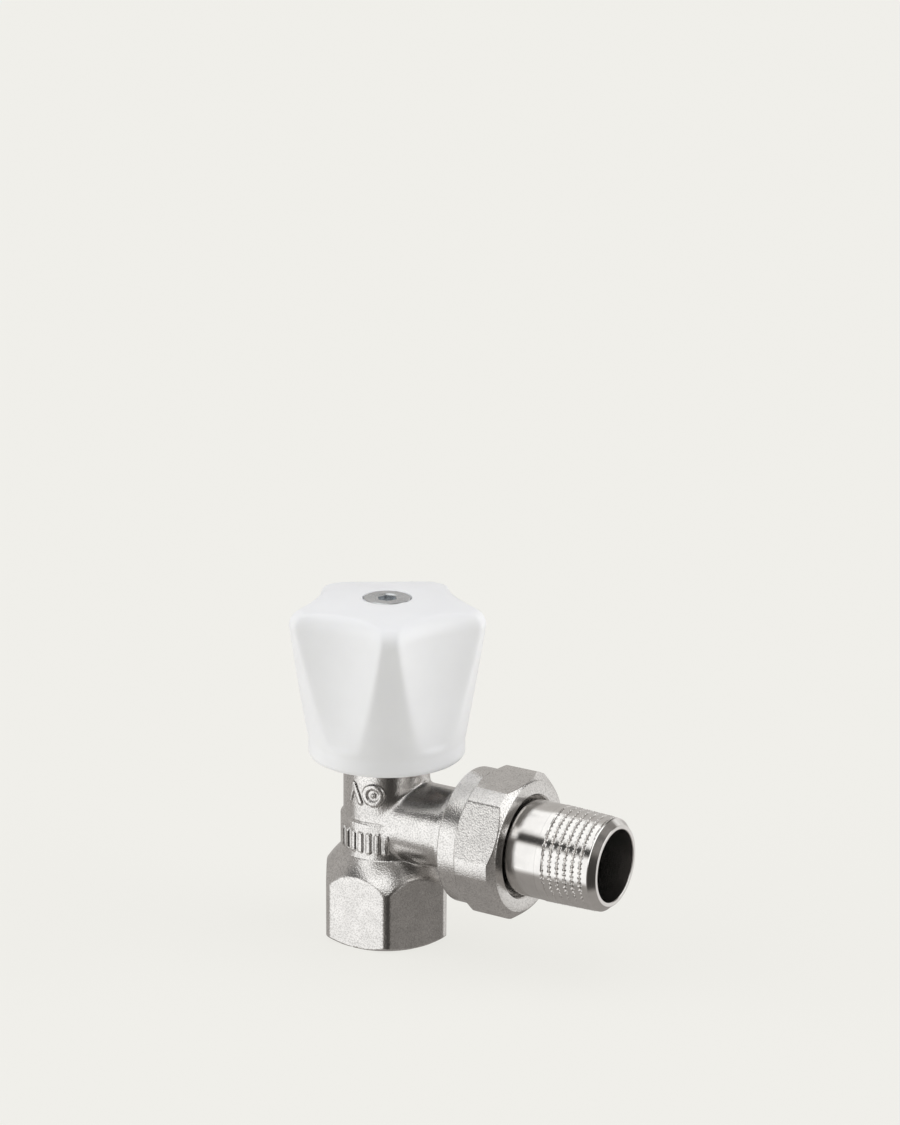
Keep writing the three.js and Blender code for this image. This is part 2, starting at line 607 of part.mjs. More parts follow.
function handwheel() {
  const quarter = Array.from({ length: 4 }, (_, i) => ((i + 1) * Math.PI) / 8);
  const rimRound = [3, 2, 1].map((i) => {
    const angle = (i * Math.PI) / 6;
    const height = WHEEL_RIM_Z + WHEEL_RIM_ROUND * (1 - Math.cos(angle));
    return { height, level: WHEEL_RIM_Z, inset: WHEEL_RIM_ROUND * (1 - Math.sin(angle)) };
  }).reverse();
  const wall = Array.from({ length: 7 }, (_, i) => {
    const height = THREE.MathUtils.lerp(WHEEL_FLARE_Z, WHEEL_SIDE_TOP, i / 6);
    return { height, level: height, inset: 0 };
  });
  const topRound = quarter.map((angle) => ({
    height: THREE.MathUtils.lerp(WHEEL_SIDE_TOP, WHEEL_TOP_EDGE, Math.sin(angle)),
    level: WHEEL_SIDE_TOP,
    inset: WHEEL_EDGE_ROUND * (1 - Math.cos(angle)),
  }));
  const crown = [{ height: WHEEL_CROWN, radius: SCREW_HEAD_RADIUS + 2 }];
  const outside = lobedSolid([...rimRound, ...wall, ...topRound, ...crown], WHEEL_SEGMENTS);

  const ceilingEdge = WHEEL_CEILING - CEILING_BEVEL;
  const cavityLevels = [WHEEL_RIM_Z - OVERRUN, WHEEL_FLARE_Z, ...CAVITY_MIDDLES, ceilingEdge];
  const cavityRows = cavityLevels.map((height) => ({ height, level: height, inset: WHEEL_WALL }));
  cavityRows.push({ height: WHEEL_CEILING, level: ceilingEdge, inset: WHEEL_WALL + CEILING_BEVEL });
  const cavity = lobedSolid(cavityRows, WHEEL_SEGMENTS);

  const ribLength = SCALLOP_HIGH_RADIUS - WHEEL_WALL / 2 - HUB_RADIUS;
  const ribMiddle = HUB_RADIUS + ribLength / 2 - OVERRUN;
  const ribTop = WHEEL_CEILING + FIT_GAP;
  let inside = cylinder(HUB_RADIUS, HUB_BOTTOM, WHEEL_CEILING + OVERRUN);
  for (let i = 0; i < LOBES; i += 1) {
    const turn = FIRST_LOBE + ((i + 0.5) * 2 * Math.PI) / LOBES;
    inside = inside.add(box(ribLength, RIB_THICKNESS, RIB_BOTTOM, ribTop, ribMiddle, 0, turn));
  }

  const entry = cylinder(STEM_RADIUS + 0.2, HUB_BOTTOM - OVERRUN, SPLINE_START + 0.2);
  const spline = splinedShaft(STEM_RADIUS + FIT_GAP, SPLINE_START, HUB_WEB_BOTTOM);
  const screwHole = cylinder(SCREW_HOLE_RADIUS, HUB_WEB_BOTTOM - EDGE, HUB_WEB_TOP + EDGE);
  const counterbore = cylinder(COUNTERBORE_RADIUS, HUB_WEB_TOP, WHEEL_CROWN + OVERRUN, FINE);

  return outside.subtract(cavity).add(inside)
    .subtract(entry).subtract(spline).subtract(screwHole).subtract(counterbore);
}

const SCREW_WASHER_BOTTOM = HUB_WEB_TOP + THIN_GAP;
const SCREW_WASHER_TOP = SCREW_WASHER_BOTTOM + SCREW_WASHER_THICKNESS;
const SCREW_HEAD_BOTTOM = SCREW_WASHER_TOP + THIN_GAP;

function screwWasher() {
  return ring(SCREW_WASHER_HOLE_RADIUS, SCREW_HEAD_RADIUS, SCREW_WASHER_BOTTOM, SCREW_WASHER_TOP);
}

function handwheelScrew() {
  const turned = revolve([
    [0, SCREW_TIP],
    [SCREW_CORE_RADIUS - EDGE, SCREW_TIP],
    [SCREW_CORE_RADIUS, SCREW_TIP + EDGE],
    [SCREW_CORE_RADIUS, SCREW_HEAD_BOTTOM],
    [SCREW_HEAD_RADIUS, SCREW_HEAD_BOTTOM],
    [SCREW_HEAD_RADIUS, SCREW_TOP - SCREW_HEAD_EDGE],
    [SCREW_HEAD_RADIUS - SCREW_HEAD_EDGE, SCREW_TOP],
    [0, SCREW_TOP],
  ], FINE);
  const socketFloor = SCREW_TOP - SCREW_SOCKET_DEPTH;
  return turned.subtract(hexagon(SCREW_SOCKET_ACROSS_FLATS, socketFloor, SCREW_TOP + OVERRUN));
}

// ---- Union, drawn upright about its own axis ----------------------------------------------------

function unionTail() {
  const threadMiddle = (TAIL_THREAD_START + TAIL_BEVEL_START) / 2;
  const crestAt = (z) => PIPE_THREAD_CREST - (z - threadMiddle) * PIPE_THREAD_TAPER;
  const ridges = Array.from({ length: PIPE_THREAD_TURNS }, (_, i) => {
    const groove = TAIL_THREAD_START + (i + 0.5) * PIPE_THREAD_PITCH;
    const crest = groove + PIPE_THREAD_PITCH / 2;
    return [[crestAt(groove) - PIPE_THREAD_DEPTH, groove], [crestAt(crest), crest]];
  }).flat();
  const noseRadiusAt = (x) => CONE_ROOT_RADIUS + x - CONE_ROOT_X - TAIL_CONE_GAP;
  return revolve([
    [TAIL_BORE_RADIUS, TAIL_NOSE],
    [noseRadiusAt(TAIL_NOSE), TAIL_NOSE],
    [noseRadiusAt(TAIL_COLLAR_BACK), TAIL_COLLAR_BACK],
    [TAIL_COLLAR_RADIUS, TAIL_COLLAR_BACK],
    [TAIL_COLLAR_RADIUS, NUT_WALL_BACK - FACE_GAP],
    [TAIL_RADIUS, NUT_WALL_BACK - FACE_GAP],
    [TAIL_RADIUS, TAIL_THREAD_START],
    ...ridges,
    [TAIL_BEVEL_RADIUS, TAIL_BEVEL_START],
    [TAIL_END_RADIUS, OUTLET_REACH],
    [TAIL_BORE_RADIUS, OUTLET_REACH],
  ], FINE);
}

function unionNut() {
  const threadRadius = BOSS_RADIUS + FIT_GAP;
  const hexRound = revolve([
    [0, NUT_COLLAR_END],
    [NUT_COLLAR_RADIUS, NUT_COLLAR_END],
    [NUT_CORNER_RADIUS, NUT_COLLAR_END + NUT_REAR_CHAMFER],
    [NUT_CORNER_RADIUS, NUT_FRONT - NUT_FRONT_CHAMFER],
    [NUT_FRONT_RADIUS, NUT_FRONT],
    [0, NUT_FRONT],
  ], FINE);
  const hex = hexRound.intersect(
    hexagon(NUT_ACROSS_FLATS, NUT_COLLAR_END - OVERRUN, NUT_FRONT + OVERRUN, NUT_FIRST_CORNER));
  const collar = revolve([
    [0, NUT_BACK],
    [NUT_COLLAR_RADIUS - EDGE, NUT_BACK],
    [NUT_COLLAR_RADIUS, NUT_BACK + EDGE],
    [NUT_COLLAR_RADIUS, NUT_COLLAR_END],
    [NUT_COLLAR_RADIUS - OVERRUN, NUT_COLLAR_END + OVERRUN],
    [0, NUT_COLLAR_END + OVERRUN],
  ], FINE);
  const bore = revolve([
    [0, NUT_BACK - OVERRUN],
    [threadRadius + NUT_LEAD, NUT_BACK - OVERRUN],
    [threadRadius + NUT_LEAD, NUT_BACK],
    [threadRadius, NUT_BACK + NUT_LEAD],
    [threadRadius, NUT_WALL_BACK],
    [NUT_HOLE_RADIUS, NUT_WALL_BACK],
    [NUT_HOLE_RADIUS, NUT_FRONT + OVERRUN],
    [0, NUT_FRONT + OVERRUN],
  ], FINE);
  return hex.add(collar).subtract(bore);
}

// ---- Assembly -----------------------------------------------------------------------------------

const valve = new THREE.Group();

valve.add(
  piece('valve_body', valveBody(), BLASTED_NICKEL),
  piece('bonnet_seal_ring', bonnetSealRing(), RED_FIBRE),
  piece('bonnet', bonnet(), TURNED_NICKEL),
  piece('backup_washer', glandRing(BACKUP_WASHER), BARE_BRASS),
  piece('stem_o_ring_lower', stemORing(LOWER_O_RING), BLACK_RUBBER),
  piece('stem_o_ring_upper', stemORing(UPPER_O_RING), BLACK_RUBBER),
  piece('gland_follower', glandRing(FOLLOWER), BARE_BRASS),
  piece('gland_nut', glandNut(), TURNED_NICKEL),
);

const plug = new THREE.Group();
plug.add(
  piece('plug_carrier', plugCarrier(), BARE_BRASS),
  piece('disc_gasket', discGasket(), BLACK_RUBBER),
  piece('disc_washer', discWasher(), ZINC_STEEL),
  piece('disc_screw', discScrew(), ZINC_STEEL),
  piece('swivel_clip', swivelClip(), SPRING_STEEL),
);

const turningGroup = new THREE.Group();
turningGroup.add(
  piece('spindle', spindle(), BARE_BRASS),
  piece('spindle_stop_ring', spindleStopRing(), SPRING_STEEL),
  piece('handwheel', handwheel(), WHITE_PLASTIC),
  piece('screw_washer', screwWasher(), ZINC_STEEL),
  piece('handwheel_screw', handwheelScrew(), ZINC_STEEL),
);
plug.add(turningGroup);
valve.add(plug);

const union = new THREE.Group();
union.position.z = OUTLET_HEIGHT;
union.rotation.y = Math.PI / 2;
union.add(
  piece('union_tail', unionTail(), TURNED_NICKEL),
  piece('union_nut', unionNut(), BLASTED_NICKEL),
);
valve.add(union);

export default valve;
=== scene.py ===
import math

import bpy
import numpy as np
from mathutils import Matrix, Vector


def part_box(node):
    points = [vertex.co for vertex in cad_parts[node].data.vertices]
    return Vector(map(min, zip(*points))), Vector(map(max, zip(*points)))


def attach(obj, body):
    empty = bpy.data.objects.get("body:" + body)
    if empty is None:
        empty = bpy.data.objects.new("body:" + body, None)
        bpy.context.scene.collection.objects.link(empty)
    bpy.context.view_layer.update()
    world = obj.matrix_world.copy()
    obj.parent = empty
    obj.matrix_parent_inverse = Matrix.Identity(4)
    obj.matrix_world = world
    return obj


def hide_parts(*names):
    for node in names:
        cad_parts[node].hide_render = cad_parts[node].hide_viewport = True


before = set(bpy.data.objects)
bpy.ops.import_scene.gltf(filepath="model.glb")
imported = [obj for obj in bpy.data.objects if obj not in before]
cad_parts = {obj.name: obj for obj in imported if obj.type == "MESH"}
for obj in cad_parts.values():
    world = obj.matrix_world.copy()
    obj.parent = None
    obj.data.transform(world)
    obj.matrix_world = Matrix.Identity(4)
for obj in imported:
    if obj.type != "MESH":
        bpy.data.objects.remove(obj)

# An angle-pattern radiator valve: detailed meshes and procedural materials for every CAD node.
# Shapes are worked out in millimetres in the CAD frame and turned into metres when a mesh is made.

MM = 0.001
TURN = 2 * math.pi
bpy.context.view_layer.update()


def span(node):
    """The lowest and highest corner of a CAD node, in millimetres."""
    low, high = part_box(node)
    return np.array(low) / MM, np.array(high) / MM


# ---- Sizes taken from the frame, in millimetres ---------------------------------------------------

BODY_HIGH = span("valve_body")[1]
TAIL_LOW, TAIL_HIGH = span("union_tail")
NUT_LOW, NUT_HIGH = span("union_nut")
WHEEL_LOW = span("handwheel")[0]
SCREW_LOW, SCREW_HIGH = span("handwheel_screw")
SPINDLE_LOW, SPINDLE_HIGH = span("spindle")

OUTLET_Z = (TAIL_LOW[2] + TAIL_HIGH[2]) / 2
OUTLET_END = TAIL_HIGH[0]
NECK_TOP = BODY_HIGH[2]
BOSS_END = BODY_HIGH[0]
NUT_BACK, NUT_FRONT = NUT_LOW[0], NUT_HIGH[0]
RIM_Z = WHEEL_LOW[2]


# ---- Mesh building --------------------------------------------------------------------------------

def smooth_min(a, b, blend):
    """The smaller of two lengths, rounded where they are within the blend of each other."""
    share = np.clip(blend - np.abs(a - b), 0, None) / blend
    return np.minimum(a, b) - share**3 * blend / 6


def smooth_max(a, b, blend):
    return -smooth_min(-a, -b, blend)


def smoothstep(low, high, value):
    share = np.clip((value - low) / (high - low), 0, 1)
    return share * share * (3 - 2 * share)


def make_object(name, vertices, faces, axis="Z"):
    """A mesh object from millimetre points. Points drawn about the outlet's axis are laid along +X."""
    points = np.array(vertices, float)
    if axis == "X":
        points = np.stack([points[:, 2], points[:, 1], OUTLET_Z - points[:, 0]], 1)
    mesh = bpy.data.meshes.new(name)
    mesh.from_pydata((points * MM).tolist(), [], [list(face) for face in faces])
    mesh.validate()
    if signed_volume(mesh) < 0:
        mesh.flip_normals()
    made = bpy.data.objects.new(name, mesh)
    bpy.context.scene.collection.objects.link(made)
    return made


def signed_volume(mesh):
    mesh.calc_loop_triangles()
    corners = np.zeros(len(mesh.loop_triangles) * 3, np.int32)
    mesh.loop_triangles.foreach_get("vertices", corners)
    points = np.zeros(len(mesh.vertices) * 3)
    mesh.vertices.foreach_get("co", points)
    a, b, c = points.reshape(-1, 3)[corners.reshape(-1, 3)].transpose(1, 0, 2)
    return float(np.einsum("ij,ij->i", a, np.cross(b, c)).sum())


def turned(name, rows, columns=256, axis="Z", closed=True):
    """A solid turned from rows of (radius, height), which makes a ring when it is closed.

    A radius may be a function of the row's height and the angle, which is how hexagons, threads,
    splines and lobes are made. A shape that isn't closed starts and ends on the axis.
    """
    angle = np.arange(columns) * TURN / columns
    points = []
    for radius, height in rows:
        reach = radius(height, angle) if callable(radius) else radius + 0 * angle
        points.append(np.stack([reach * np.cos(angle), reach * np.sin(angle), height + 0 * angle], 1))
    points = np.array(points)
    index = np.arange(len(rows) * columns).reshape(len(rows), columns)
    across = np.roll(index, -1, 1)
    if closed:
        above, above_across = np.roll(index, -1, 0), np.roll(across, -1, 0)
        faces = np.stack([index, across, above_across, above], 2).reshape(-1, 4)
        return make_object(name, points.reshape(-1, 3), faces, axis)
    faces = np.stack([index[1:-2], across[1:-2], across[2:-1], index[2:-1]], 2).reshape(-1, 4)
    poles = [index.size, index.size + 1]
    low_cap = [[poles[0], b, a] for a, b in zip(index[1], across[1])]
    high_cap = [[poles[1], a, b] for a, b in zip(index[-2], across[-2])]
    ends = [[0, 0, rows[0][1]], [0, 0, rows[-1][1]]]
    kept = np.vstack([points.reshape(-1, 3), ends])
    return make_object(name, kept, faces.tolist() + low_cap + high_cap, axis)


def rounded(corners, steps=4, closed=True):
    """Rows from (radius, height, edge radius) corners, with an arc at each rounded corner."""
    rows = []
    for i, (x, y, edge) in enumerate(corners):
        here = np.array([x, y], float)
        at_end = not closed and i in (0, len(corners) - 1)
        if edge == 0 or at_end:
            rows.append(tuple(here))
            continue
        before = np.array(corners[i - 1][:2], float) - here
        after = np.array(corners[(i + 1) % len(corners)][:2], float) - here
        sizes = np.linalg.norm(before), np.linalg.norm(after)
        cosine = float(np.clip(before @ after / (sizes[0] * sizes[1]), -1, 1))
        reach = min(edge / math.tan(math.acos(cosine) / 2), sizes[0] * 0.49, sizes[1] * 0.49)
        start, end = here + before / sizes[0] * reach, here + after / sizes[1] * reach
        for t in np.linspace(0, 1, steps + 1):
            rows.append(tuple((1 - t) ** 2 * start + 2 * t * (1 - t) * here + t**2 * end))
    return rows


def repeated(radius, start, end, step):
    """Rows at even heights that share one radius function."""
    count = max(2, int(round(abs(end - start) / step)) + 1)
    return [(radius, float(height)) for height in np.linspace(start, end, count)]


def hexagonal(across_flats, profile, first_corner=0.0, edge=0.12):
    """A radius function: a hexagon whose corners are turned off to a profile of the height."""
    def radius(height, angle):
        from_flat = np.mod(angle - first_corner, TURN / 6) - TURN / 12
        flats = across_flats / 2 / np.cos(from_flat)
        return smooth_min(flats, profile(height) + 0 * angle, edge)
    return radius


def thread_wave(along, angle, pitch):
    """0 at a right-hand thread's root and 1 at its crest, with both slightly rounded."""
    rise = 1 - np.abs(2 * np.mod(along / pitch - angle / TURN, 1.0) - 1)
    return smoothstep(0.06, 0.94, rise) * 0.5 + np.clip((rise - 0.1) / 0.8, 0, 1) * 0.5


def threaded(base, change, pitch, start, end, fade=0.8):
    """A radius function: a thread that rises or cuts by the change, and fades out at both ends."""
    def radius(height, angle):
        inward = fade if end > start else -fade
        rise, fall = smoothstep(start, start + inward, height), smoothstep(end, end - inward, height)
        return base + change * rise * fall * thread_wave(height, angle, pitch)
    return radius


def combine(target, tool, operation):
    """Joins or cuts the target with another closed mesh, which is used up."""
    boolean = target.modifiers.new("join", "BOOLEAN")
    boolean.object = tool
    boolean.operation = operation
    boolean.solver = "MANIFOLD"
    graph = bpy.context.evaluated_depsgraph_get()
    result = bpy.data.meshes.new_from_object(target.evaluated_get(graph))
    target.modifiers.clear()
    old = target.data
    target.data = result
    bpy.data.meshes.remove(old)
    bpy.data.objects.remove(tool)
    return target


def block(name, low, high, turn=0.0):
    """A box between two corners, turned about the upright axis."""
    corners = np.array([[x, y, z] for x in (low[0], high[0]) for y in (low[1], high[1])
                        for z in (low[2], high[2])], float)
    sine, cosine = math.sin(turn), math.cos(turn)
    placed = corners @ np.array([[cosine, sine, 0], [-sine, cosine, 0], [0, 0, 1]])
    faces = [(0, 1, 3, 2), (4, 6, 7, 5), (0, 4, 5, 1), (2, 3, 7, 6), (0, 2, 6, 4), (1, 5, 7, 3)]
    return make_object(name, placed, faces)


def blended_surface(name, field, low, high, cell):
    """The surface where field(points) is zero, as a closed mesh of even quads.

    One vertex is placed in each cell of a grid that the surface crosses, and is then moved onto
    the surface along the field's gradient.
    """
    counts = np.ceil((np.array(high) - low) / cell).astype(int) + 1
    grid = np.stack(np.meshgrid(*[low[i] + cell * np.arange(counts[i]) for i in range(3)],
                                indexing="ij"), -1)
    inside = field(grid.reshape(-1, 3)).reshape(counts) < 0
    corner_sum = sum(
        inside[i:counts[0] - 1 + i, j:counts[1] - 1 + j, k:counts[2] - 1 + k].astype(np.int8)
        for i in (0, 1) for j in (0, 1) for k in (0, 1))
    crossed = (corner_sum > 0) & (corner_sum < 8)
    number = np.full(crossed.shape, -1)
    number[crossed] = np.arange(crossed.sum())
    vertices = low + cell * (np.argwhere(crossed) + 0.5)
    for step in range(8):
        gradient = field_gradient(field, vertices)
        squared = np.maximum((gradient**2).sum(1), 1e-6)
        shift = gradient * (field(vertices) / squared)[:, None]
        length = np.linalg.norm(shift, axis=1, keepdims=True)
        vertices = vertices - shift * np.minimum(1, cell / np.maximum(length, 1e-9))
    faces = []
    for along in range(3):
        first, second = [d for d in range(3) if d != along]
        start, end = [slice(None)] * 3, [slice(None)] * 3
        start[along], end[along] = slice(0, -1), slice(1, None)
        changes = np.argwhere(inside[tuple(start)] != inside[tuple(end)])
        changes = changes[(changes[:, first] > 0) & (changes[:, second] > 0)]
        rising = inside[tuple(changes.T)]
        step_first, step_second = np.eye(3, dtype=int)[first], np.eye(3, dtype=int)[second]
        around = [changes, changes - step_first, changes - step_first - step_second, changes - step_second]
        quads = np.stack([number[tuple(cells.T)] for cells in around], 1)
        outward = rising if along != 1 else ~rising
        quads[~outward] = quads[~outward][:, ::-1]
        faces.append(quads)
    return make_object(name, vertices, np.vstack(faces))


def field_gradient(field, points, reach=0.01):
    slopes = []
    for axis in np.eye(3) * reach:
        slopes.append((field(points + axis) - field(points - axis)) / (2 * reach))
    return np.stack(slopes, 1)


def finish_piece(piece, body, node, material, sharp_degrees=40):
    """Shades a piece, gives it its material, puts it under its body and hides the CAD node that it stands
    for.
    """
    piece.data.materials.clear()
    for one in material if isinstance(material, (list, tuple)) else [material]:
        piece.data.materials.append(one)
    piece.data.shade_smooth()
    piece.data.set_sharp_from_angle(angle=math.radians(sharp_degrees))
    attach(piece, body)
    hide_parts(node)
    return piece


# ---- Materials ------------------------------------------------------------------------------------

class Nodes:
    """A short way to write a node tree: each call adds one node and returns its first output."""

    def __init__(self, tree):
        self.tree = tree

    def add(self, kind, inputs=None, output=0, **settings):
        node = self.tree.nodes.new(kind)
        for key, value in settings.items():
            setattr(node, key, value)
        for key, value in (inputs or {}).items():
            self.feed(node.inputs[key], value)
        return node.outputs[output]

    def feed(self, socket, value):
        if isinstance(value, bpy.types.NodeSocket):
            self.tree.links.new(value, socket)
        else:
            socket.default_value = value

    def math(self, operation, a, b=0.0):
        return self.add("ShaderNodeMath", {0: a, 1: b}, operation=operation)

    def noise(self, position, scale, detail=3.0, roughness=0.5):
        return self.add("ShaderNodeTexNoise", {"Vector": position, "Scale": scale, "Detail": detail,
                                               "Roughness": roughness})

    def remap(self, value, low, high, to_low, to_high):
        return self.add("ShaderNodeMapRange", {"Value": value, 1: low, 2: high, 3: to_low, 4: to_high})

    def mix(self, factor, a, b):
        node = self.tree.nodes.new("ShaderNodeMix")
        node.data_type = "RGBA"
        self.feed(node.inputs[0], factor)
        self.feed(node.inputs[6], a)
        self.feed(node.inputs[7], b)
        return node.outputs[2]


def new_material(name):
    material = bpy.data.materials.new(name)
    material.use_nodes = True
    tree = material.node_tree
    return material, Nodes(tree), tree.nodes["Principled BSDF"].inputs


def grey(value, warmth=0.0):
    return (value * (1 + warmth), value, value * (1 - warmth), 1.0)


def metal(name, light, dark, roughness, grain, grain_height, warmth=0.02, lines=None, pitted=0.0):
    """Plated metal: blotchy tone, lighter rubbed edges, painted shade darkening its creases, uneven gloss,
    blasted grain or fine turning lines.

    grain is the number of grains per millimetre. lines is (axis, per millimetre, height) of the
    rings that a turning tool leaves round that axis. pitted is how dark the hollows between the
    grains are.
    """
    material, nodes, shader = new_material(name)
    position = nodes.add("ShaderNodeTexCoord", output=3)
    blotch = nodes.noise(position, 0.35 / MM, 4.0, 0.55)
    fine = nodes.noise(position, grain / MM, 2.0, 0.6)
    coarse = nodes.noise(position, grain * 0.42 / MM, 2.0, 0.5)
    edge = nodes.add("ShaderNodeNewGeometry", output=7)
    rubbed = nodes.remap(edge, 0.51, 0.58, 0.0, 1.0)
    # Painted shade: a mask of the concave creases, where pointiness is low.
    hollow = nodes.remap(edge, 0.49, 0.42, 0.0, 1.0)
    tone = nodes.mix(nodes.remap(blotch, 0.35, 0.65, 0.0, 1.0), grey(dark, warmth), grey(light, warmth))
    tone = nodes.mix(nodes.math("MULTIPLY", rubbed, 0.5), tone, grey(min(light * 1.1, 0.97), warmth * 0.5))
    # Painted shade: the tone in the creases is darkened towards a warm dark grey.
    tone = nodes.mix(nodes.math("MULTIPLY", hollow, 0.55), tone, grey(dark * 0.4, warmth * 2))
    if pitted:
        grains = nodes.add("ShaderNodeTexVoronoi", {"Vector": position, "Scale": grain / MM}, feature="F1")
        fine = nodes.math("ADD", nodes.math("MULTIPLY", grains, 0.55), nodes.math("MULTIPLY", fine, 0.6))
        pits = nodes.remap(grains, 0.45, 0.75, 0.0, pitted)
        tone = nodes.mix(pits, tone, grey(dark * 0.35, warmth * 2))
    nodes.feed(shader["Base Color"], tone)
    uneven = nodes.remap(fine, 0.3, 0.7, roughness * 0.85, roughness * 1.18)
    polish = nodes.math("MULTIPLY", rubbed, roughness * 0.3)
    nodes.feed(shader["Roughness"], nodes.math("SUBTRACT", uneven, polish))
    shader["Metallic"].default_value = 1.0
    height = nodes.math("ADD", fine, nodes.math("MULTIPLY", coarse, 0.4))
    height = nodes.math("MULTIPLY", height, grain_height)
    if lines:
        axis, density, line_height = lines
        apart = nodes.tree.nodes.new("ShaderNodeSeparateXYZ")
        nodes.feed(apart.inputs[0], position)
        across_rings = {"W": apart.outputs[axis], "Scale": density / MM, "Detail": 3.0}
        rings = nodes.add("ShaderNodeTexNoise", across_rings, noise_dimensions="1D")
        height = nodes.math("ADD", height, nodes.math("MULTIPLY", rings, line_height))
    bump = nodes.add("ShaderNodeBump", {"Strength": 1.0, "Distance": MM, "Height": height})
    nodes.feed(shader["Normal"], bump)
    return material


def plastic(name, color, roughness):
    material, nodes, shader = new_material(name)
    position = nodes.add("ShaderNodeTexCoord", output=3)
    cloud = nodes.noise(position, 0.12 / MM, 3.0)
    skin = nodes.noise(position, 6.0 / MM, 2.0)
    shade = tuple(c * 0.975 for c in color[:3]) + (1.0,)
    nodes.feed(shader["Base Color"], nodes.mix(nodes.remap(cloud, 0.3, 0.7, 0.0, 1.0), shade, color))
    nodes.feed(shader["Roughness"], nodes.remap(cloud, 0.3, 0.7, roughness * 0.92, roughness * 1.1))
    bump = nodes.add("ShaderNodeBump", {"Strength": 0.25, "Distance": 0.01 * MM, "Height": skin})
    nodes.feed(shader["Normal"], bump)
    shader["Subsurface Weight"].default_value = 0.12
    shader["Subsurface Radius"].default_value = (0.002, 0.002, 0.0018)
    shader["Subsurface Scale"].default_value = 0.5
    return material


def matt(name, color, roughness, grain=3.0, height=0.02):
    material, nodes, shader = new_material(name)
    position = nodes.add("ShaderNodeTexCoord", output=3)
    speck = nodes.noise(position, grain / MM, 4.0, 0.6)
    shade = tuple(c * 0.6 for c in color[:3]) + (1.0,)
    nodes.feed(shader["Base Color"], nodes.mix(speck, shade, color))
    roughest = min(1.0, roughness * 1.1)
    nodes.feed(shader["Roughness"], nodes.remap(speck, 0.3, 0.7, roughness * 0.9, roughest))
    nodes.feed(shader["Normal"], nodes.add("ShaderNodeBump", {"Distance": height * MM, "Height": speck}))
    return material


BLASTED = metal("blasted_nickel_skin", 0.84, 0.74, 0.2, 2.9, 0.036, pitted=0.3)
MACHINED = metal("machined_nickel_about_z", 0.80, 0.72, 0.2, 6.0, 0.004, lines=(2, 9.0, 0.012))
TURNED_X = metal("turned_nickel_about_x", 0.86, 0.80, 0.14, 6.0, 0.002, lines=(0, 9.0, 0.006))
BRASS = metal("bare_brass_turned", 0.62, 0.5, 0.24, 6.0, 0.004, warmth=0.3, lines=(2, 7.0, 0.01))
BORE = metal("reamed_bore", 0.75, 0.6, 0.8, 5.0, 0.02, warmth=0.12, lines=(0, 3.0, 0.05))
ZINC = metal("zinc_steel", 0.80, 0.70, 0.24, 5.0, 0.008, warmth=-0.03)
SPRING = metal("spring_steel", 0.3, 0.22, 0.3, 5.0, 0.01)
RUBBER = matt("black_rubber", (0.02, 0.02, 0.021, 1), 0.6)
FIBRE = matt("red_fibre", (0.30, 0.07, 0.045, 1), 0.85)
WHITE = plastic("white_abs", (0.905, 0.91, 0.925, 1), 0.33)


# ---- Valve body -----------------------------------------------------------------------------------

FOOT_FLATS = 27.0
FOOT_TURN = math.radians(2.5)
FOOT_RADIUS = 15.1
FOOT_FACE_RADIUS = 13.5
FOOT_CHAMFER = 0.95
BARREL_RADIUS = 10.35
BARREL_TOP = 28.4
NECK_RADIUS = 9.7
BRANCH_RADIUS = 9.1
FLARE_RADIUS = 13.0
FLARE_START, FLARE_END = 18.2, 22.0
FLARE_FACE = 22.25
SHOULDER_START, SHOULDER_END = (FOOT_RADIUS, 13.6), (BARREL_RADIUS, 20.2)
SHOULDER_BEND = (13.6, 17.0)
BODY_CELL = 0.26



def shoulder_curve(axis, share=np.linspace(0, 1, 40)):
    """Radii (axis 0) or heights (axis 1) along the shoulder's curve."""
    start, bend, end = SHOULDER_START[axis], SHOULDER_BEND[axis], SHOULDER_END[axis]
    return (1 - share) ** 2 * start + 2 * share * (1 - share) * bend + share**2 * end


SHOULDER_R, SHOULDER_Z = shoulder_curve(0), shoulder_curve(1)


def blank_radius(z):
    """Radius of the turned blank at any height: foot, rounded shoulder, barrel, neck."""
    step = smoothstep(BARREL_TOP - 0.25, BARREL_TOP + 0.55, z)
    return np.interp(z, SHOULDER_Z, SHOULDER_R) - (BARREL_RADIUS - NECK_RADIUS) * step


def body_field(points):
    """Less than zero inside the forging, before its bores are machined."""
    x, y, z = points.T
    radius = np.hypot(x, y)
    relief = np.zeros(len(points))
    near = (y < 0) & (z > 20.5) & (z < 39) & (radius < 12.5)
    relief[near] = relief_height(np.arctan2(y[near], x[near]), z[near])
    upright = (radius - blank_radius(z) - relief) * 0.9
    for k in range(3):
        normal = TURN / 12 + k * TURN / 6 + FOOT_TURN
        flat = np.abs(x * math.cos(normal) + y * math.sin(normal)) - FOOT_FLATS / 2
        upright = smooth_max(upright, flat, 0.42)
    mouth = (radius - FOOT_FACE_RADIUS - z * (FOOT_RADIUS - FOOT_FACE_RADIUS) / FOOT_CHAMFER) * 0.5
    upright = smooth_max(upright, mouth, 0.2)
    upright = smooth_max(upright, -z, 0.15)
    upright = smooth_max(upright, z - NECK_TOP, 0.4)
    flare = (FLARE_RADIUS - BRANCH_RADIUS) * smoothstep(FLARE_START, FLARE_END, x) ** 1.4
    branch = (np.hypot(y, z - OUTLET_Z) - BRANCH_RADIUS - flare) * 0.85
    branch = smooth_max(branch, x - FLARE_FACE, 0.25)
    branch = smooth_max(branch, -x, 0.3)
    return smooth_min(upright, branch, 1.6)


RELIEF_ANGLE = math.radians(-88)
RING_CENTRE, RING_RADIUS, RING_WIDTH = (2.15, 35.25), 1.95, 1.0
CHEVRON = ((-4.0, 33.2), (-2.75, 37.2), (-0.95, 33.2))
BAR_ANGLES = [math.radians(a) for a in (-124, -113, -102, -91, -80, -69, -58)]
BAR_LOW, BAR_HIGH = 22.2, 25.9
STROKE_WIDTH = 1.0


